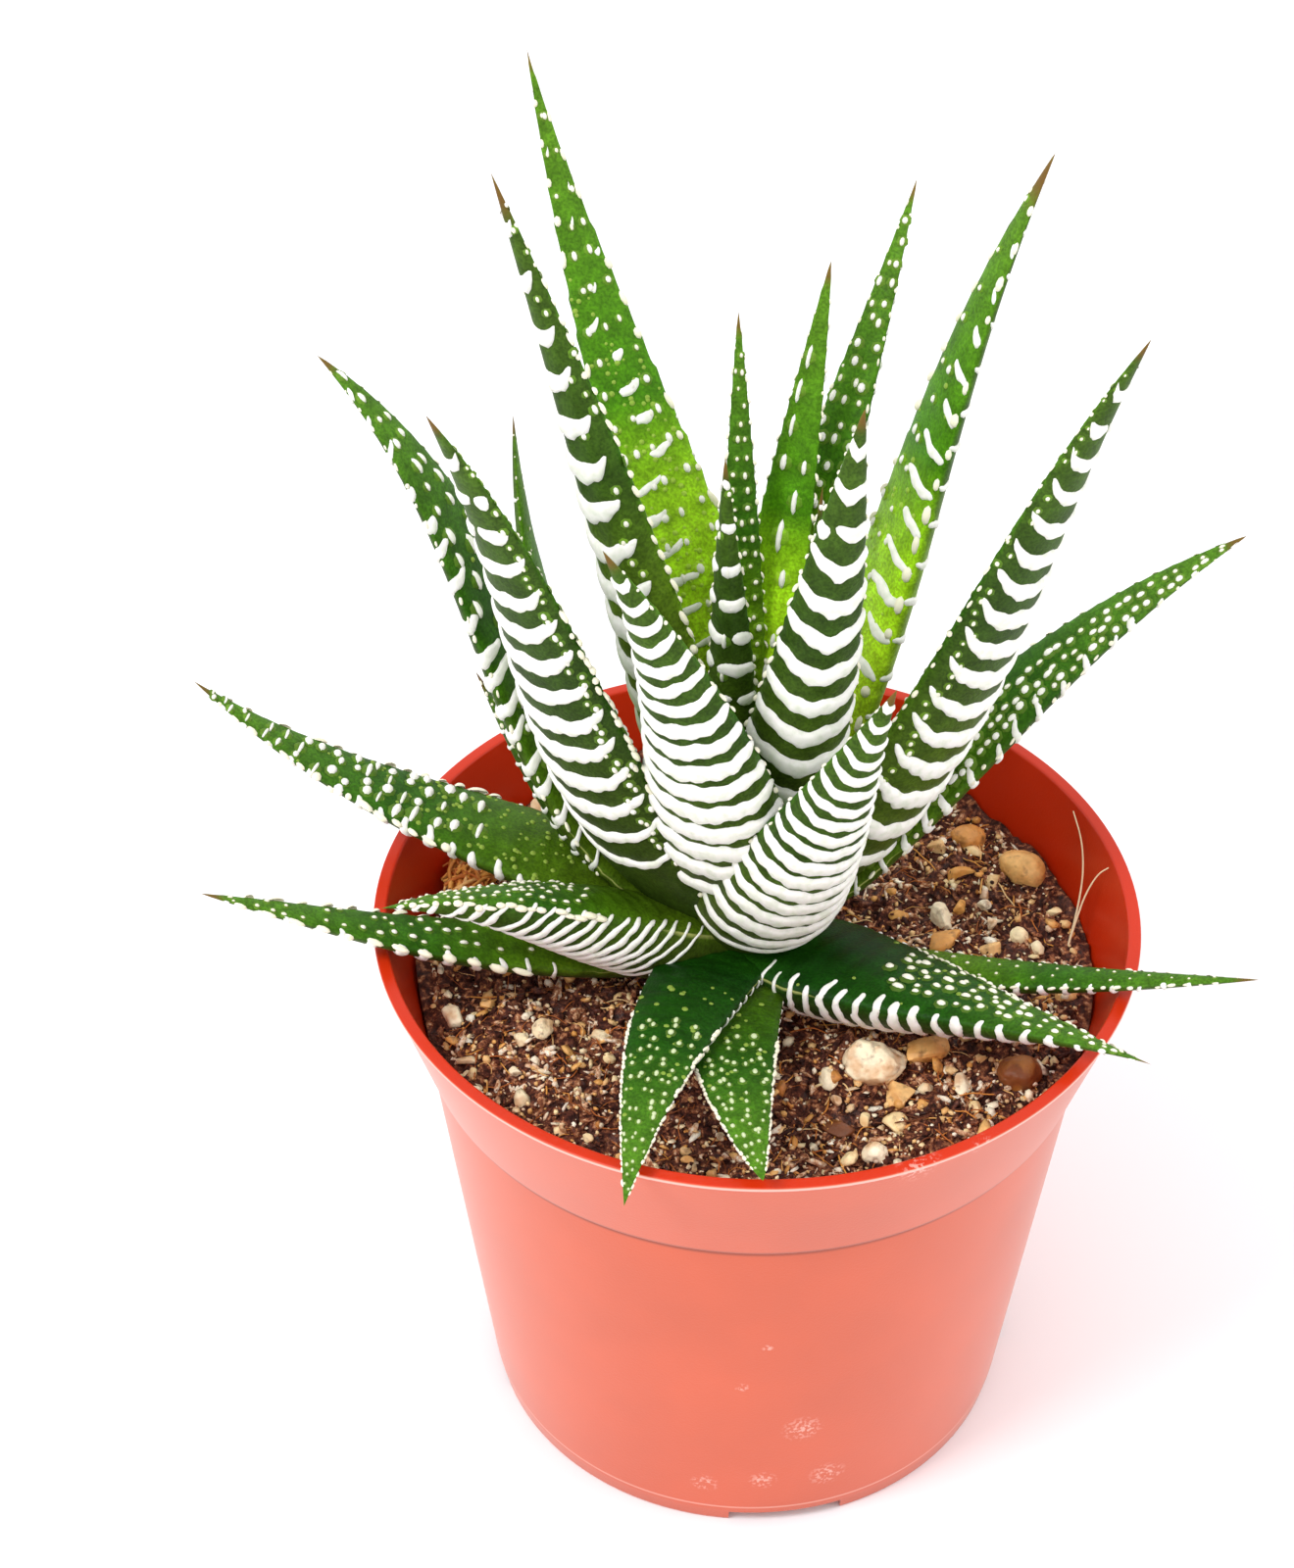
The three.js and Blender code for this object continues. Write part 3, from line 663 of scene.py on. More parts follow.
def outerBands(leaf, rng):
    # white bands across the outer face; towards the tip some break into short bars
    patches, length = [], leaf["length"]
    place = leaf["bare"] * length
    low, high = leaf["span"]
    wrapStart, wrapEnd = (math.radians(value) for value in leaf["wrap"])
    while place < 0.97 * length:
        s = place / length
        growth = leaf["gather"] + (1 - leaf["gather"]) * min(1, s / 0.7)
        place += leaf["pitch"] * growth * rng.uniform(0.94, 1.06)
        spread = float(leafSpread(leaf, s))
        fading = 0.55 + 0.45 * smoothStep(s, leaf["bare"], leaf["bare"] + 0.14)        # thinner at the foot
        size = min(1.0, 0.45 + 0.8 * spread) * fading
        width = leaf["band"] * growth ** 0.8 * size * rng.uniform(0.93, 1.07)
        start = np.pi * (1 + low) - wrapStart * rng.uniform(0.6, 1.15)
        end = np.pi * (1 + high) + wrapEnd * rng.uniform(0.6, 1.15)
        cuts = [start, end]
        if rng.random() < leaf["broken"] + (1 - leaf["whole"]) * 1.8 * smoothStep(s, 0.55, 0.95):
            cuts.insert(1, start + rng.uniform(0.3, 0.7) * (end - start))
        smile = leaf["smile"] * (0.35 + 0.65 * spread)
        for first, last in zip(cuts[:-1], cuts[1:]):
            gap = 0.08 if len(cuts) > 2 else 0.0
            part = smile * ((last - first) / (end - start)) ** 1.5
            slope = leaf["skew"] * spread * (last - first) / (end - start) + rng.normal(0, 0.08)
            patches.append(bandPatch(leaf, s, first + gap, last - gap, width, part, slope, rng))
    return patches


def pebbles(leaf, rng):
    # small pale bumps between the beads, mostly in the lower half of the inner face
    count = int(leaf["pebbles"] * leaf["length"] * leaf["width"] / 22)
    s = leaf["clear"] * 0.6 + (0.8 - leaf["clear"] * 0.6) * rng.beta(1.3, 2.2, count)
    turn = np.arccos(rng.uniform(-0.95, 0.95, count))
    radius = rng.uniform(0.2, 0.42, count)
    return moundPatch(leaf, s, turn, radius, radius * 0.6, 0.55)


def makeLeaf(number, row, materials):
    leaf = {**plainLeaf, **row, "length": 1.0, "phase": 0.0}
    rng = np.random.default_rng(700 + number)
    line = leafAxes(leaf, np.linspace(0, 1, 80))[0]
    leaf["length"] = float(np.linalg.norm(np.diff(line, axis=0), axis=1).sum())
    leaf["phase"] = rng.random()
    patches = [skinPatch(leaf), *outerBands(leaf, rng), *innerBeads(leaf, rng), *innerBars(leaf, rng),
               marginBeads(leaf, rng), pebbles(leaf, rng)]
    piece = buildPiece(f"leaf{number:02d}", patches, materials,
                       ("share", "youth", "edge", "outer", "dry", "pale", "cream"))
    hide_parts(f"leaf_{number:02d}")
    return piece


def leafSkinMaterial():
    # waxy haworthia skin, as grown: deep to fresh green, finely speckled, with a soft sheen; the young
    # leaves' feet are brighter still, painted light shining through them
    material, tree, shader = newMaterial("waxyLeafSkin")
    place = addNode(tree, "ShaderNodeTexCoord", out="Object")
    layer = {name: addNode(tree, "ShaderNodeAttribute", out="Fac", attribute_name=name)
             for name in ("share", "youth", "edge", "outer", "dry", "pale")}
    old = addNode(tree, "ShaderNodeValToRGB", {"Fac": layer["share"]}, stops=plant["oldGreens"])
    young = addNode(tree, "ShaderNodeValToRGB", {"Fac": layer["share"]}, stops=plant["youngGreensBacklit"])
    green = addNode(tree, "ShaderNodeMix", {0: layer["youth"], 6: old, 7: young}, **mixColors)
    olive = hexColor(plant["olive"])    # tints the outer face
    olive = addNode(tree, "ShaderNodeMix", {0: 0.58, 6: green, 7: olive}, **mixColors)
    green = addNode(tree, "ShaderNodeMix", {0: layer["outer"], 6: green, 7: olive}, **mixColors)
    cloud = addNode(tree, "ShaderNodeTexNoise", {"Vector": place, "Scale": perMetre(2.2), "Detail": 3.0})
    cloud = addNode(tree, "ShaderNodeMapRange", {0: cloud, 1: 0.35, 2: 0.68, 3: 0.78, 4: 1.22})
    fine = addNode(tree, "ShaderNodeTexNoise", {"Vector": place, "Scale": perMetre(0.35), "Detail": 2.0})
    speckle = addNode(tree, "ShaderNodeMapRange", {0: fine, 1: 0.35, 2: 0.65, 3: 0.76, 4: 1.26})
    mottle = addNode(tree, "ShaderNodeMath", {0: cloud, 1: speckle}, operation="MULTIPLY")
    green = addNode(tree, "ShaderNodeMix", {0: 1.0, 6: green, 7: mottle}, **multiplyColors)
    # a pale membrane lines the lower margins
    nearFoot = addNode(tree, "ShaderNodeMapRange", {0: layer["share"], 1: 0.45, 2: 0.2})
    line = addNode(tree, "ShaderNodeMath", {0: layer["edge"], 1: nearFoot}, operation="MULTIPLY")
    line = addNode(tree, "ShaderNodeMapRange", {0: line, 1: 0.7, 2: 1.0, 4: 0.7})
    color = green
    for cover, shade in ((layer["pale"], "pebble"), (line, "membrane"), (layer["dry"], "dryTip")):
        color = addNode(tree, "ShaderNodeMix", {0: cover, 6: color, 7: hexColor(plant[shade])}, **mixColors)
    surface = {
        "Base Color": color, "Roughness": 0.45, "IOR": 1.40, "Specular IOR Level": 0.14,
        "Subsurface Weight": 0.10, "Subsurface Radius": (0.8, 1.2, 0.3), "Subsurface Scale": mm}
    setSurface(tree, shader, surface, fine, 0.06)
    return material


def tubercleMaterial():
    # raised pearly tissue, as grown: nearly white bands, the small beads creamier or greener
    material, tree, shader = newMaterial("pearlyTubercle")
    place = addNode(tree, "ShaderNodeTexCoord", out="Object")
    cloud = addNode(tree, "ShaderNodeTexNoise", {"Vector": place, "Scale": perMetre(1.2), "Detail": 3.0})
    color = addNode(tree, "ShaderNodeValToRGB", {"Fac": cloud}, stops=plant["bandWhites"])
    cream = addNode(tree, "ShaderNodeAttribute", out="Fac", attribute_name="cream")
    dull = addNode(tree, "ShaderNodeMapRange", {0: cream, 1: 0.6, 2: 1.0})
    for cover, shade in ((cream, "bead"), (dull, "dullBead")):
        color = addNode(tree, "ShaderNodeMix", {0: cover, 6: color, 7: hexColor(plant[shade])}, **mixColors)
    setSurface(tree, shader, {
        "Base Color": color, "Roughness": 0.45, "IOR": 1.45,
        "Subsurface Weight": 0.2, "Subsurface Radius": (0.5, 0.6, 0.4), "Subsurface Scale": mm})
    return material


leafMaterials = [leafSkinMaterial(), tubercleMaterial()]
leafPieces = [makeLeaf(number, row, leafMaterials) for number, row in enumerate(leafRows, start=1)]
leafFaces = sum(len(piece.data.polygons) for piece in leafPieces)
print("leaves made:", len(leafPieces), "with", leafFaces, "faces")


# Pot

pot = {
    "height": 73.2, "rimRadius": 45.0, "rimWidth": 1.5, "lip": 0.45,
    "collarFoot": 57.0, "collarRadius": 39.9, "collarStep": 0.5,
    "baseRadius": 32.2, "wall": 1.3, "footHeight": 2.0, "footWidth": 1.6, "floor": 1.4,
    "sides": 180, "sharpAngle": 35,
    "notches": 4, "notchTurn": 280, "notchWidth": 14.0, "notchHeight": 1.8, "notchDepth": 8,
    "drains": 6, "drainTurn": 30, "drainRadius": 3.2, "drainRing": 23.0,
    # The pale colour marks real worn spots and also paints highlight lines. The dark colour paints a shadow
    # line and a band darker towards the foot. The inside colour is a deeper red than the outside's: painted
    # shade and red light reflected between the walls inside the pot.
    "outside": "#CA522A", "inside": "#C62C08", "wornAndHighlight": "#F3C9BC", "shadowAndFootDark": "#7E2A10", "rubStrength": 0.5,
}

# thin lines round the wall outside, painted highlights and a painted shadow, and a wide band darker towards
# the foot: height, half width, colour and strength
wallLines = [
    # a painted highlight along the lip's rounded edge, and painted shadow under the collar's step
    (pot["height"] - pot["lip"] + 0.02, 0.3, "wornAndHighlight", 0.75), (pot["collarFoot"] - 0.25, 0.8, "shadowAndFootDark", 0.7),
    # a painted highlight along the mould's parting line above the foot, and a wide band darker towards the
    # foot
    (pot["footHeight"] + 1.0, 0.22, "wornAndHighlight", 0.35), (0.0, 3.0, "shadowAndFootDark", 0.16),
]

# pale rubbed spots: place from the pot's axis, and size
wallSpots = [
    (7.2, -34.1, 20.1, 2.8), (2.7, -33.5, 9.3, 2.0), (-0.2, -36.1, 29.6, 1.0), (2.7, -37.0, 37.8, 0.8),
    (10.5, -31.8, 9.0, 2.6), (-4.5, -33.4, 8.0, 2.0),
]
rimSpots = [(18.6, -40.9, 72.6, 3.0), (25.5, -37.1, 72.6, 1.6)]


def innerRadius(z):
    # of the pot's wall, at a height
    collarFoot, collar = pot["collarFoot"], pot["collarRadius"] - pot["wall"]
    rise = (z - collarFoot) / (pot["height"] - collarFoot)
    above = collar + rise * (pot["rimRadius"] - pot["rimWidth"] - collar)
    low = pot["baseRadius"] + 0.5 - pot["wall"]
    rise = (z - pot["footHeight"]) / (collarFoot - pot["footHeight"])
    below = low + rise * (collar - pot["collarStep"] - low)
    return np.where(z > collarFoot, above, below)


def roundedOutline(corners):
    # each corner is radius, height and the size of its rounding; long walls get a ring near each end
    points = [corners[0][:2]]
    for before, here, after in zip(corners[:-2], corners[1:-1], corners[2:]):
        a, b, c = (np.array(p[:2], float) for p in (before, here, after))
        start = b + unit(a - b) * here[2]
        end = b + unit(c - b) * here[2]
        if np.linalg.norm(a - b) > 2:
            points.append(tuple(b + unit(a - b) * (here[2] + 0.25)))
        for t in np.linspace(0, 1, 6):
            points.append(tuple((1 - t) ** 2 * start + 2 * (1 - t) * t * b + t * t * end))
        if np.linalg.norm(c - b) > 2:
            points.append(tuple(b + unit(c - b) * (here[2] + 0.25)))
    points.append(corners[-1][:2])
    return np.array(points)


def potShell():
    # the pot without its openings, turned from the corners of its wall
    top, rim, step, base = (pot[key] for key in ("height", "rimRadius", "collarRadius", "baseRadius"))
    foot, collar = pot["footHeight"], pot["collarFoot"]
    lip, ring, floorTop = top - pot["lip"], base - pot["footWidth"], foot + pot["floor"]
    corners = [
        (0, foot, 0), (ring - 1, foot, 0.3), (ring - 0.5, 0, 0.3),
        (base, 0, 0.35), (base + 0.5, foot + 0.5, 0.3),
        (step - pot["collarStep"], collar - 0.12, 0.06), (step, collar + 0.12, 0.1),
        (rim - 0.3, lip - 0.4, 0.1), (rim, lip, 0.1),
        (rim - 0.05, top, 0.2), (rim - pot["rimWidth"], top, 0.3),
    ]
    for level, rounding in ((collar + 0.5, 0.3), (collar - 0.3, 0.3), (floorTop + 1.5, 1)):
        corners.append((float(innerRadius(level)), level, rounding))
    corners += [(float(innerRadius(floorTop)) - 1.5, floorTop, 1), (0, floorTop, 0)]
    outline = roundedOutline(corners)
    turn = roundTurns(pot["sides"])
    body = outline[1:-1]
    rings = np.stack([body[:, None, 0] * np.cos(turn), body[:, None, 0] * np.sin(turn),
                      np.broadcast_to(body[:, None, 1], (len(body), len(turn)))], axis=-1)
    hubs = np.array([[0, 0, outline[0][1]], [0, 0, outline[-1][1]]])
    return patch(np.concatenate([rings.reshape(-1, 3), hubs]), closedTube(len(body), len(turn)))


def cutterMesh():
    # drain holes through the floor and notches through the foot ring
    tool = bmesh.new()
    middle = pot["footHeight"] + pot["floor"] / 2
    places = [(0.0, 0.0)]
    for i in range(pot["drains"]):
        turn = math.radians(i * 360 / pot["drains"] + pot["drainTurn"])
        places.append((math.cos(turn) * pot["drainRing"], math.sin(turn) * pot["drainRing"]))
    for x, y in places:
        made = bmesh.ops.create_cone(tool, cap_ends=True, segments=40, radius1=pot["drainRadius"],
                                     radius2=pot["drainRadius"], depth=pot["floor"] * 4)
        bmesh.ops.translate(tool, verts=made["verts"], vec=(x, y, middle))
    for i in range(pot["notches"]):
        turn = math.radians(pot["notchTurn"] + i * 360 / pot["notches"])
        made = bmesh.ops.create_cube(tool, size=1.0)
        for vert in made["verts"]:
            x = vert.co.x * pot["notchDepth"] + pot["baseRadius"]
            y = vert.co.y * pot["notchWidth"]
            vert.co = (x * math.cos(turn) - y * math.sin(turn), x * math.sin(turn) + y * math.cos(turn),
                       vert.co.z * pot["notchHeight"] * 2)
    for vert in tool.verts:
        vert.co = (vert.co + Vector(potAxis)) * mm
    mesh = bpy.data.meshes.new("potCutter")
    tool.to_mesh(mesh)
    tool.free()
    return mesh


def makePot(materials):
    shell = buildPiece("nurseryPot", [potShell()], materials)
    cutter = addObject("potCutter", cutterMesh())
    cut = shell.modifiers.new("openings", "BOOLEAN")
    cut.operation = "DIFFERENCE"
    cut.solver = "EXACT"
    cut.object = cutter
    finished = bpy.data.meshes.new_from_object(shell.evaluated_get(bpy.context.evaluated_depsgraph_get()))
    shell.modifiers.clear()
    shell.data = finished
    bpy.data.objects.remove(cutter)
    for face in finished.polygons:      # the wall inside and the floor inside are smoother than the rest, and take the deeper red that paints shade and reflected light inside the pot
        x, y = face.center.x / mm - potAxis[0], face.center.y / mm - potAxis[1]
        facing = (face.normal.x * x + face.normal.y * y) / math.hypot(x, y)
        smooth = (facing < -0.3 or face.normal.z > 0.5) and face.center.z > 3 * mm
        face.material_index = 1 if smooth else 0
    finished.shade_smooth()
    finished.set_sharp_from_angle(angle=math.radians(pot["sharpAngle"]))
    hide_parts("pot")


def potMaterial(name, worn, lines, surface):
    # injection-moulded polypropylene: even terracotta colour, matte grain outside, smoother inside, with
    # pale worn spots and the painted highlight and shade lines it is given
    material, tree, shader = newMaterial(name)
    wornAndHighlight = hexColor(pot["wornAndHighlight"])
    place = addNode(tree, "ShaderNodeTexCoord", out="Object")
    cloud = addNode(tree, "ShaderNodeTexNoise", {"Vector": place, "Scale": perMetre(18), "Detail": 3.0})
    cloud = addNode(tree, "ShaderNodeMapRange", {0: cloud, 1: 0.3, 2: 0.7, 3: 0.94, 4: 1.05})
    tint = addNode(tree, "ShaderNodeMix", {0: 1.0, 6: surface["Base Color"], 7: cloud}, **multiplyColors)
    scratch = addNode(tree, "ShaderNodeTexNoise", {"Vector": place, "Scale": perMetre(0.5), "Detail": 4.0})
    scratch = addNode(tree, "ShaderNodeMapRange", {0: scratch, 1: 0.5, 2: 0.6})
    for x, y, z, size in worn:
        spot = Vector(((x + potAxis[0]) * mm, (y + potAxis[1]) * mm, z * mm))
        away = addNode(tree, "ShaderNodeVectorMath", {0: place, 1: spot}, "Value", operation="DISTANCE")
        near = addNode(tree, "ShaderNodeMapRange", {0: away, 1: size * mm, 2: size * 0.3 * mm})
        mask = addNode(tree, "ShaderNodeMath", {0: near, 1: scratch}, operation="MULTIPLY")
        mask = addNode(tree, "ShaderNodeMath", {0: mask, 1: pot["rubStrength"]}, operation="MULTIPLY")
        tint = addNode(tree, "ShaderNodeMix", {0: mask, 6: tint, 7: wornAndHighlight}, **mixColors)
    height = addNode(tree, "ShaderNodeSeparateXYZ", {"Vector": place}, "Z")
    # painted highlight and shadow lines round the wall, and a band darker towards the foot, as the list
    # gives them
    for level, half, shade, strength in lines:
        away = addNode(tree, "ShaderNodeMath", {0: height, 1: level * mm}, operation="SUBTRACT")
        away = addNode(tree, "ShaderNodeMath", {0: away}, operation="ABSOLUTE")
        line = addNode(tree, "ShaderNodeMapRange", {0: away, 1: half * mm, 2: half * 0.5 * mm, 4: strength})
        tint = addNode(tree, "ShaderNodeMix", {0: line, 6: tint, 7: hexColor(pot[shade])}, **mixColors)
    grain = addNode(tree, "ShaderNodeTexNoise", {"Vector": place, "Scale": perMetre(0.3), "Detail": 1.0})
    setSurface(tree, shader, {**surface, "Base Color": tint, "IOR": 1.49}, grain, 0.015)
    return material


outside = potMaterial("mattePolypropylene", wallSpots + rimSpots, wallLines, {
    "Base Color": hexColor(pot["outside"]), "Roughness": 0.42,
    "Sheen Weight": 0.32, "Sheen Roughness": 0.4})      # fine dust on the grain
# its deeper red paints the shade and the red light reflected between the walls inside the pot; the floor
# inside and the rim top take it too
inside = potMaterial("smoothPolypropylene", rimSpots, [], {
    "Base Color": hexColor(pot["inside"]), "Roughness": 0.3, "Specular IOR Level": 0.3})
makePot([outside, inside])
print("pot made")


# Soil, grit and stones

soil = {
    "level": 63.2, "slope": 0.055, "bump": 0.7,         # as in the solids
    "clods": [(4.0, 0.7), (1.6, 0.5), (0.7, 0.3)],      # sizes, and how high each stands
    "rings": 130, "sides": 300, "skirt": 4,             # mesh of its top, and how deep the edge goes down
    "radius": 39.6, "edgeAt": 38,       # of the soil's top, and where its level at the wall is taken
    "fibres": 760, "fibrePoints": 9,
    "clumpFibres": 220, "clump": (-34.8, 12.5, 65.3),   # a torn clump of bark fibre by the wall
    "peatBrowns": [(0.28, "#2E120C"), (0.42, "#5E3022"), (0.53, "#B2744E"), (0.63, "#F0C69E"),
                   (0.74, "#FFF2DC")],
    "fibreBrowns": [(0.0, "#5A2A10"), (0.5, "#C26A26"), (0.8, "#E8A448"), (1.0, "#F4D49C")],
}

# Loose grains of three kinds. size is the mean and spread of a lognormal draw, and limits its bounds.
# squash has the bounds of the three sides as shares of the size, or one pair for all. lift is how high a
# grain rides, dent how rough it is. tone runs from dark to pale peat, or from pale to brown stone; power
# gathers it at the low end, and patches varies it from place to place.
crumbs = {"count": 7600, "size": (-1.3, 0.5), "limits": (0.12, 0.65), "lift": 0.25, "dent": 0.35,
          "squash": [(0.9, 3.0), (0.4, 0.9), (0.4, 0.8)], "power": 1.2, "tone": 0.95, "patches": 0.85}
sand = {"count": 3000, "size": (-1.6, 0.5), "limits": (0.09, 0.8), "lift": 0.6, "dent": 0.2,
        "squash": [(0.6, 1.2)], "power": 1, "tone": 0.65, "patches": 0}
chips = {"count": 900, "size": (-0.75, 0.35), "limits": (0.2, 1.1), "lift": 0.35, "dent": 0.35,
         "squash": [(0.9, 1.8), (0.5, 1.0), (0.2, 0.4)], "power": 1.5, "tone": 0.8, "patches": 0}

stones = {
    "flats": 9, "flatReach": (0.35, 0.8),               # flat faces on a unit ball, as on broken rock
    "swelling": 0.06, "pitting": 0.03, "lift": 0.12,    # relief, and how high a stone rides, as shares
    "gritAngular": 0.9,
    "tones": [(0.0, "#FFF8E4"), (0.3, "#F8E2AE"), (0.6, "#E8AC5C"), (0.85, "#B4682E"), (1.0, "#5E3018")],
    "speck": "#6A4226", "stain": "#D08A3C",
}

# place, size, turn, how brown and how angular each stone of the solids is
stoneRows = [
    (14.4, -15.2, (8.2, 6.2, 4.8), 12, 0.15, 0.9), (20.2, -12.6, (5.6, 4.6, 3.6), 60, 0.55, 0.8),
    (31.4, -15.4, (6.2, 5, 4.2), 35, 0.95, 0.4), (32.4, 17.8, (6.4, 4.6, 4.2), 150, 0.55, 0.15),
    (25.8, 22.6, (4.6, 3.8, 3.4), 10, 0.72, 0.3), (22.2, 10.6, (4.2, 3.2, 3), 110, 0.15, 0.7),
    (31.6, 5.9, (2.6, 2.4, 2.4), 70, 0.25, 0.1), (37, -3, (3, 2.8, 2.6), 20, 0.5, 0.1),
    (16.9, -19.2, (4.2, 3.8, 3.2), 45, 0.5, 0.9), (14.2, -28.8, (3.2, 2.9, 2.8), 0, 0.12, 0.2),
    (-35.4, -9.2, (4, 2.6, 2.6), 115, 0.15, 0.6), (-24.8, -11.2, (3.6, 3, 2.6), 80, 0.2, 0.7),
]

# the same, without how angular, for the smaller bits of grit that can be told apart
gritRows = [
    (25.1, 16.8, (4.4, 2.2, 1.8), 20, 0.6), (28.8, 15.8, (3.4, 2.4, 1.8), 60, 0.4),
    (21.8, 20.5, (2.6, 2.4, 2.2), 0, 0.4), (22.4, 4.3, (5.2, 3.4, 2.6), 15, 0.65),
    (28.3, 4.1, (3.2, 2.2, 1.8), 30, 0.5), (33.9, 4.4, (2.7, 2.5, 2.3), 0, 0.2),
    (34.0, -3.4, (3.4, 2.2, 1.8), 160, 0.62), (29.6, -3.8, (3, 2, 1.6), 30, 0.45),
    (27.6, 11.6, (1.8, 1.4, 2), 0, 0.1), (28.4, 8.4, (1.4, 2, 1.6), 0, 0.12),
    (24.8, 12.0, (2.2, 1.4, 1.6), 70, 0.6), (17.2, 10.0, (2.6, 1.6, 1.2), 0, 0.6),
    (16.9, -23.6, (3.4, 3.2, 2.0), 40, 0.35), (8.9, -17.6, (2.4, 3.4, 2), 10, 0.15),
    (9.8, -20.0, (1.4, 1.6, 1.2), 0, 0.1), (11.5, -29.8, (2.6, 2, 1.5), 20, 0.3),
    (24.4, -17.6, (2.4, 4.0, 2.4), 15, 0.12), (20.1, -18.0, (2.0, 1.9, 1.6), 0, 0.2),
    (23.0, -15.2, (1.7, 2.0, 1.5), 20, 0.35), (26.4, -13.6, (2.2, 1.4, 1.4), 0, 0.35),
    (19.8, -20.9, (2, 1.5, 1.3), 0, 0.6), (25.6, -21.2, (2.1, 2.2, 1.6), 30, 0.4),
    (10.0, -23.4, (4.2, 3.4, 1.8), 0, 0.97), (13.2, -22.4, (1.4, 2.4, 1.2), 0, 0.3),
    (22.0, -23.6, (1.8, 1.4, 1.0), 0, 0.5), (-27.2, -13.4, (2.2, 1.6, 1.4), 30, 0.2),
    (-31.4, -6.9, (2, 1.6, 1.4), 0, 0.55), (-28.0, -8.6, (1.8, 1.5, 1.3), 50, 0.5),
    (-35.1, -13.2, (1.8, 1.4, 1.2), 0, 0.6), (-33.1, -16.4, (2.8, 1.5, 1.3), 5, 0.2),
    (-32.6, -18.2, (2.0, 1.5, 1.2), 20, 0.25), (-27.5, -17.5, (1.8, 1.4, 1.3), 0, 0.15),
    (-17.9, -11.4, (3.6, 1.8, 1.5), 160, 0.2), (-20.3, -14.7, (2.0, 1.5, 1.3), 0, 0.25),
    (-16.6, -14.4, (1.6, 1.4, 1.2), 0, 0.3), (-21.6, -27.0, (1.8, 1.5, 1.3), 0, 0.3),
    (-18.6, -27.7, (1.6, 1.2, 1.1), 0, 0.3), (-27.0, 26.6, (3.2, 2.6, 4.2), 30, 0.2),
    (-12.0, -24.0, (1.8, 1.5, 1.2), 0, 0.5), (-24.0, -22.0, (1.7, 1.3, 1.1), 0, 0.45),
    (3.5, -25.5, (1.8, 1.4, 1.1), 20, 0.4), (-7.0, -30.0, (1.7, 1.2, 1.1), 0, 0.5),
    (4.5, 31.0, (3.2, 2.4, 2.2), 10, 0.4), (-10.0, 33.0, (2.8, 2.2, 2.0), 40, 0.6),
    (14.0, 30.5, (3.6, 2.6, 2.4), 80, 0.2), (-22.0, 27.0, (2.6, 2.2, 1.8), 0, 0.5),
    (36.0, 10.5, (2.0, 1.6, 1.5), 0, 0.3), (35.4, -9.0, (1.8, 1.5, 1.3), 0, 0.45),
]


def soilTop(x, y):
    bumps = np.sin(x * 0.31 + 1.2) * np.cos(y * 0.27) + 0.6 * np.sin(x * 0.13 - y * 0.41)
    return soil["level"] + soil["slope"] * y + soil["bump"] * bumps


def soilHeight(x, y):
    # the solids' soil with clods of several sizes
    flat = np.stack([x, y, np.zeros_like(x)], axis=-1)
    height = soilTop(x, y)
    for seed, (size, rise) in enumerate(soil["clods"], start=1):
        height = height + rise * lumps(flat, size, seed)
    return height


def soilGround():
    rings, sides = soil["rings"], soil["sides"]
    turn = roundTurns(sides)
    share = np.sqrt(np.linspace(0.0004, 1, rings))
    reach = soil["edgeAt"]
    edge = innerRadius(soilTop(reach * np.cos(turn), reach * np.sin(turn))) - 0.35
    x = share[:, None] * edge * np.cos(turn)
    y = share[:, None] * edge * np.sin(turn)
    top = np.stack([x, y, soilHeight(x, y)], axis=-1)
    skirt = top[-1] * [0.985, 0.985, 1] - [0, 0, soil["skirt"]]
    points = np.concatenate([top.reshape(-1, 3), skirt])
    return patch(points, gridFaces(rings + 1, sides, True), 0, tone=0.25)


def icosphere(subdivisions):
    ball = bmesh.new()
    bmesh.ops.create_icosphere(ball, subdivisions=subdivisions, radius=1.0)
    points = np.array([vert.co[:] for vert in ball.verts])
    faces = np.array([[vert.index for vert in face.verts] for face in ball.faces])
    ball.free()
    return points, faces


def groundPlaces(count, rng, margin=1.0):
    # random places on the soil, at least the margin from its edge
    radius = np.sqrt(rng.random(count)) * (soil["radius"] - margin)
    turn = rng.uniform(0, 2 * np.pi, count)
    x, y = radius * np.cos(turn), radius * np.sin(turn)
    return np.stack([x, y, soilHeight(x, y)], axis=-1)


def grains(kind, rng):
    # many lumpy grains at once, each turned, squashed and dented at random
    place = groundPlaces(kind["count"], rng)
    count = len(place)
    size = np.clip(rng.lognormal(*kind["size"], count), *kind["limits"])
    place[:, 2] += size * kind["lift"]
    if len(kind["squash"]) == 1:
        squash = rng.uniform(*kind["squash"][0], (count, 3))
    else:
        squash = np.stack([rng.uniform(low, high, count) for low, high in kind["squash"]], axis=-1)
    tone = rng.random(count) ** kind["power"] * (kind["tone"] + kind["patches"] * lumps(place, 4.5, 5))
    points, faces = icosphere(1)
    dents = 1 + rng.uniform(-kind["dent"], kind["dent"], (count, len(points), 1))
    grain = points[None] * dents * (squash * size[:, None])[:, None, :]
    tilt, turn = rng.normal(0, 0.5, count), rng.uniform(0, 2 * np.pi, count)
    for first, second, angle in ((0, 2, tilt), (0, 1, turn)):
        c, s = np.cos(angle)[:, None], np.sin(angle)[:, None]
        a, b = grain[..., first].copy(), grain[..., second].copy()
        grain[..., first], grain[..., second] = a * c - b * s, a * s + b * c
    grain += place[:, None, :]
    return patch(grain, copies(points, [faces], count), 0, tone=np.repeat(tone, len(points)))


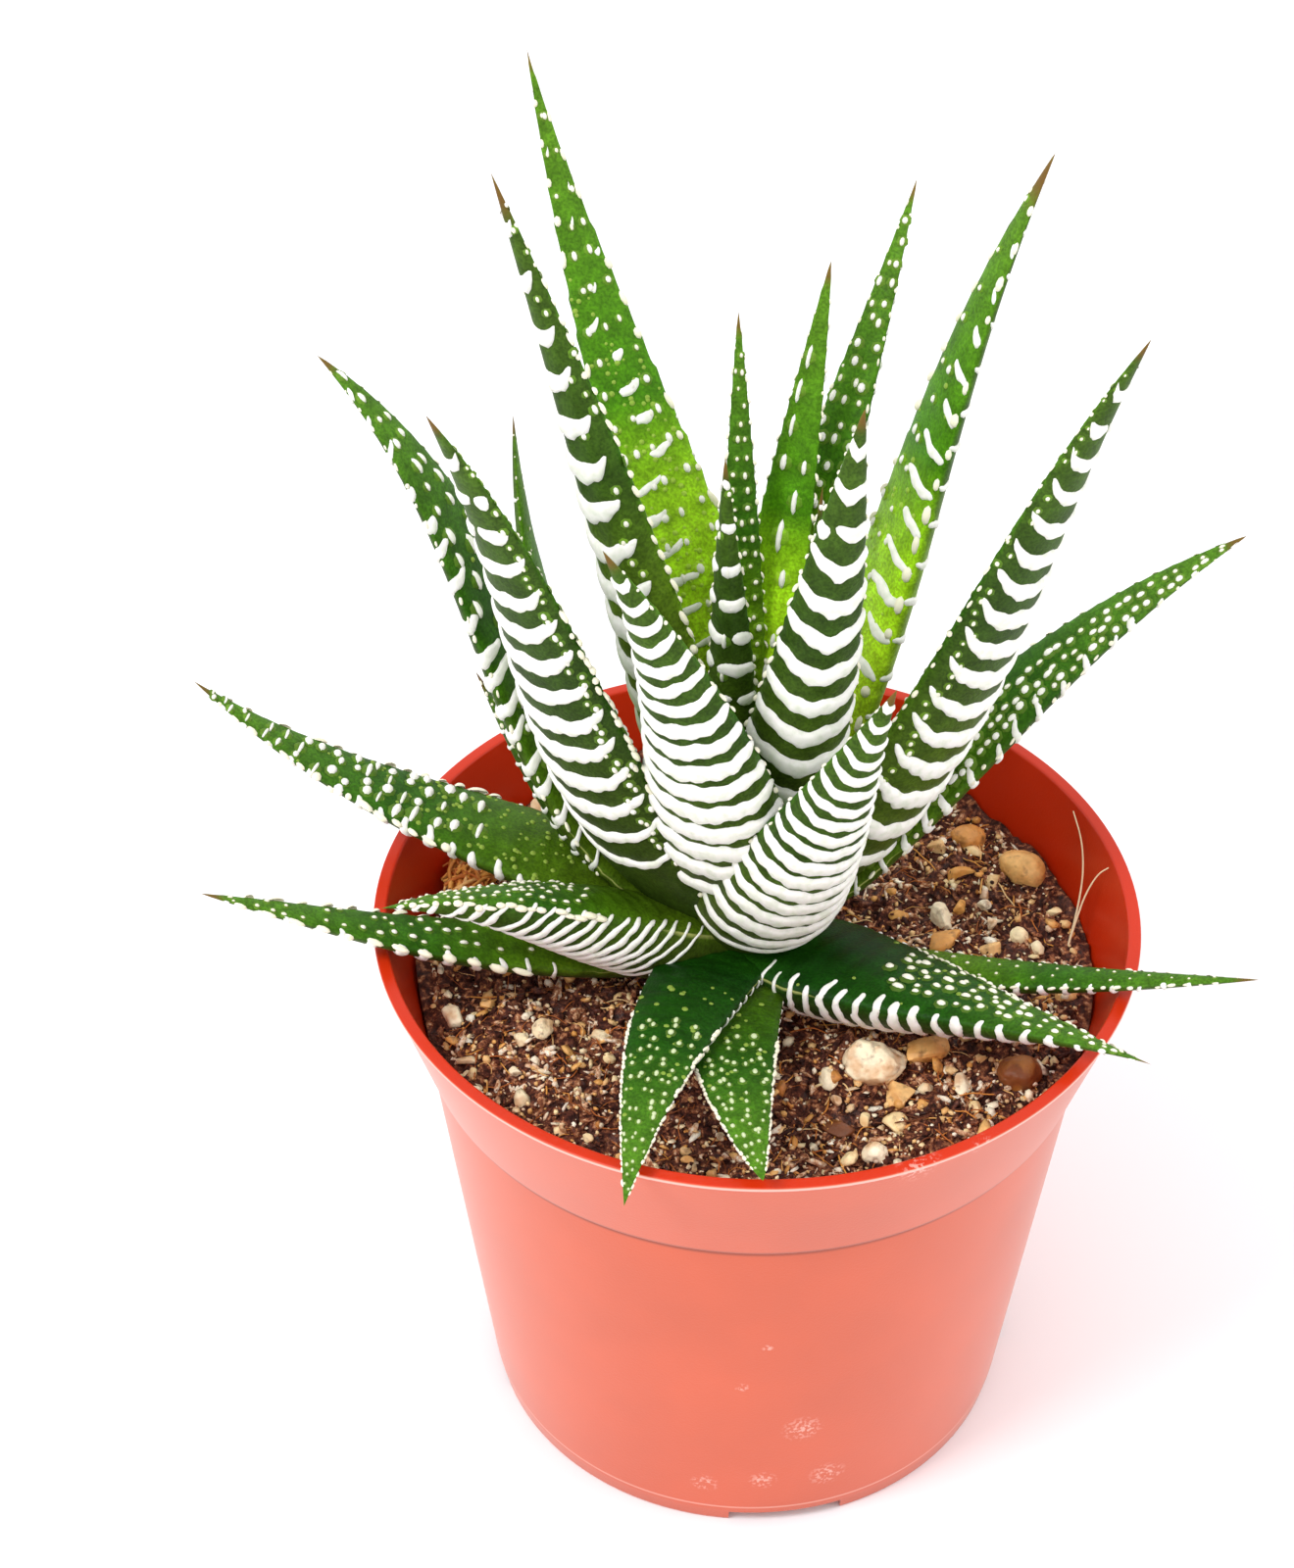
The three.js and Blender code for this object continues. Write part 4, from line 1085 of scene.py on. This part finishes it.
def fibreTube(middle, angle, length, radius, bow, lift, rng):
    # one thin root hair or peat fibre as a four-sided tube
    t = np.linspace(-1, 1, soil["fibrePoints"])
    direction, side = heading(angle)
    curve = middle + direction * (t * length / 2)[:, None] + side * (bow * (1 - t * t))[:, None]
    curve[:, 2] += lift * (1 - t * t) + 0.1 * np.sin(t * 5 + rng.uniform(0, 6)) + radius
    ring = np.array([[1, 0], [0, 1], [-1, 0], [0, -1]]) * radius
    return curve[:, None, :] + side * ring[:, 0, None] + np.array([0, 0, 1.0]) * ring[:, 1, None]


def makeSoil(peat, fibre):
    rng = np.random.default_rng(41)
    tubes = []
    for point in groundPlaces(soil["fibres"], rng, margin=3):
        tubes.append(fibreTube(point, rng.uniform(0, 6.3), rng.uniform(1.2, 5), rng.uniform(0.04, 0.11),
                               rng.normal(0, 0.4), rng.uniform(0, 0.5), rng))
    for _ in range(soil["clumpFibres"]):
        point = np.array(soil["clump"]) + np.clip(rng.normal(0, [1.3, 2.0, 0.7]), -2.2, 2.2)
        tubes.append(fibreTube(point, rng.normal(1.2, 0.5), rng.uniform(1.5, 5), rng.uniform(0.12, 0.36),
                               rng.normal(0, 0.3), rng.uniform(-0.2, 0.7), rng))
    tubes = np.stack(tubes)
    oneTube = tubes[0].reshape(-1, 3)
    faces = copies(oneTube, [gridFaces(soil["fibrePoints"], 4, True)], len(tubes))
    tone = rng.random(len(tubes))
    tone[soil["fibres"]:] = 0.45 + 0.45 * tone[soil["fibres"]:]     # the clump is paler
    tone = np.repeat(tone, len(oneTube))
    piece = buildPiece("peat", [soilGround(), patch(tubes, faces, 1, tone=tone)], [peat, fibre], ("tone",))
    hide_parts("soil")
    buildPiece("peatCrumbs", [grains(crumbs, rng)], [peat], ("tone",))


def stonePatch(ball, x, y, size, turn, brown, angular, seed):
    rng = np.random.default_rng(seed)
    points = ball[0].copy()
    for _ in range(stones["flats"]):
        normal = unit(rng.normal(size=3))
        over = np.maximum(0, points @ normal - rng.uniform(*stones["flatReach"]))
        points -= normal * (over * angular)[:, None]
    points /= np.abs(points).max(axis=0)
    relief = stones["swelling"] * lumps(points, 0.5, seed), stones["pitting"] * lumps(points, 0.16, seed)
    points *= (1 + relief[0] + relief[1])[:, None]
    points = points / 2 * np.array(size)
    c, s = math.cos(math.radians(turn)), math.sin(math.radians(turn))
    points = points @ np.array([[c, s, 0], [-s, c, 0], [0, 0, 1]])
    points += np.array([x, y, float(soilTop(x, y)) + size[2] * stones["lift"]])
    return patch(points, ball[1], tone=brown)


def makeGrit(material):
    rng = np.random.default_rng(43)
    patches = [grains(sand, rng), grains(chips, rng)]
    ball = icosphere(3)
    for seed, row in enumerate(gritRows, start=300):
        patches.append(stonePatch(ball, *row, stones["gritAngular"], seed))
    buildPiece("grit", patches, [material], ("tone",))


def makeStones(material):
    ball = icosphere(5)
    for number, row in enumerate(stoneRows, start=1):
        shape = stonePatch(ball, *row, 90 + number)
        piece = buildPiece(f"stone{number:02d}", [shape], [material], ("tone",))
        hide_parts(f"stone_{number:02d}")


def peatMaterial():
    # damp sphagnum peat, as filled: dark brown crumbs, lighter where dry, small wet glints
    material, tree, shader = newMaterial("dampPeat")
    place = addNode(tree, "ShaderNodeTexCoord", out="Object")
    tone = addNode(tree, "ShaderNodeAttribute", out="Fac", attribute_name="tone")
    cloud = addNode(tree, "ShaderNodeTexNoise", {
        "Vector": place, "Scale": perMetre(0.9), "Detail": 4.0, "Roughness": 0.65})
    spread = addNode(tree, "ShaderNodeMapRange", {0: tone, 3: -0.2, 4: 0.2})
    mixed = addNode(tree, "ShaderNodeMath", {0: spread, 1: cloud}, operation="ADD")
    color = addNode(tree, "ShaderNodeValToRGB", {"Fac": mixed}, stops=soil["peatBrowns"])
    wet = addNode(tree, "ShaderNodeTexNoise", {"Vector": place, "Scale": perMetre(2.0), "Detail": 2.0})
    wet = addNode(tree, "ShaderNodeMapRange", {0: wet, 1: 0.40, 2: 0.52, 3: 0.3, 4: 0.9})
    rough = addNode(tree, "ShaderNodeTexNoise", {"Vector": place, "Scale": perMetre(0.35), "Detail": 4.0})
    surface = {"Base Color": color, "Roughness": wet, "Specular IOR Level": 0.3}
    setSurface(tree, shader, surface, rough, 0.25)
    return material


def fibreMaterial():
    # dry peat fibre, root hair and bark: straw to orange brown
    material, tree, shader = newMaterial("peatFibre")
    tone = addNode(tree, "ShaderNodeAttribute", out="Fac", attribute_name="tone")
    color = addNode(tree, "ShaderNodeValToRGB", {"Fac": tone}, stops=soil["fibreBrowns"])
    setSurface(tree, shader, {"Base Color": color, "Roughness": 0.7})
    return material


def stoneMaterial():
    # river grit and crushed rock, washed: cream to brown, with darker grains and rusty stains
    material, tree, shader = newMaterial("washedGrit")
    place = addNode(tree, "ShaderNodeTexCoord", out="Object")
    tone = addNode(tree, "ShaderNodeAttribute", out="Fac", attribute_name="tone")
    color = addNode(tree, "ShaderNodeValToRGB", {"Fac": tone}, stops=stones["tones"])
    cloud = addNode(tree, "ShaderNodeTexNoise", {
        "Vector": place, "Scale": perMetre(1.4), "Detail": 4.0, "Roughness": 0.6})
    cloud = addNode(tree, "ShaderNodeMapRange", {0: cloud, 1: 0.3, 2: 0.7, 3: 0.88, 4: 1.25})
    color = addNode(tree, "ShaderNodeMix", {0: 1.0, 6: color, 7: cloud}, **multiplyColors)
    for shade, size, detail, low, high, strength in (("speck", 1.1, 6.0, 0.54, 0.7, 0.65),
                                                     ("stain", 3.2, 4.0, 0.5, 0.64, 0.6)):
        spots = addNode(tree, "ShaderNodeTexNoise", {
            "Vector": place, "Scale": perMetre(size), "Detail": detail})
        spots = addNode(tree, "ShaderNodeMapRange", {0: spots, 1: low, 2: high, 4: strength})
        color = addNode(tree, "ShaderNodeMix", {
            0: spots, 6: color, 7: hexColor(stones[shade])}, **mixColors)
    rough = addNode(tree, "ShaderNodeTexNoise", {"Vector": place, "Scale": perMetre(0.4), "Detail": 4.0})
    setSurface(tree, shader, {"Base Color": color, "Roughness": 0.5}, rough, 0.08)
    return material


gritFinish = stoneMaterial()
makeSoil(peatMaterial(), fibreMaterial())
makeGrit(gritFinish)
makeStones(gritFinish)
print("soil, grit and stones made")


# Two dry straws that lean on the wall inside

straws = {"radius": 0.15, "tipShare": 0.55, "sides": 6, "points": 40, "smoothing": 9, "color": "#E8CFA8"}

# places from the pot's axis; both start from one root
strawRoutes = [
    [(37.3, 4.0, 64.5), (38.4, 7.5, 67.0), (39.2, 11.5, 69.5), (39.1, 15.5, 71.5), (37.9, 19.3, 73.5)],
    [(37.3, 4.0, 64.5), (38.2, 6.0, 67.0), (39.2, 8.0, 69.5), (40.6, 9.4, 71.6), (42.0, 9.6, 72.6)],
]


def makeStraws():
    patches, turn = [], roundTurns(straws["sides"])
    span = straws["smoothing"]
    for route in strawRoutes:
        knots = np.array(route)
        t = np.linspace(0, len(knots) - 1, straws["points"])
        curve = [np.interp(t, np.arange(len(knots)), knots[:, axis]) for axis in range(3)]
        curve = [np.pad(line, span // 2, mode="edge") for line in curve]
        curve = np.stack([np.convolve(line, np.ones(span) / span, "valid") for line in curve], axis=-1)
        along = unit(np.gradient(curve, axis=0))
        side = unit(np.cross(along, [0, 0, 1.0]))
        third = np.cross(side, along)
        thin = straws["radius"] * np.linspace(1, straws["tipShare"], len(curve))[:, None, None]
        ring = side[:, None] * np.cos(turn)[None, :, None] + third[:, None] * np.sin(turn)[None, :, None]
        patches.append(patch(curve[:, None] + ring * thin, gridFaces(len(curve), len(turn), True)))
    material, tree, shader = newMaterial("dryStraw")    # bleached grass straw: pale, thin, matte
    setSurface(tree, shader, {"Base Color": hexColor(straws["color"]), "Roughness": 0.6})
    buildPiece("straws", patches, [material])


def finishStem():
    # young stem between the leaf bases: pale green, soft
    material, tree, shader = newMaterial("paleStemTissue")
    place = addNode(tree, "ShaderNodeTexCoord", out="Object")
    cloud = addNode(tree, "ShaderNodeTexNoise", {"Vector": place, "Scale": perMetre(2), "Detail": 3.0})
    color = addNode(tree, "ShaderNodeValToRGB", {"Fac": cloud}, stops=plant["stemGreens"])
    setSurface(tree, shader, {"Base Color": color, "Roughness": 0.6})
    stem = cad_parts["stem"]
    stem.data.materials.clear()
    stem.data.materials.append(material)


makeStraws()
finishStem()
print("straws and stem made")
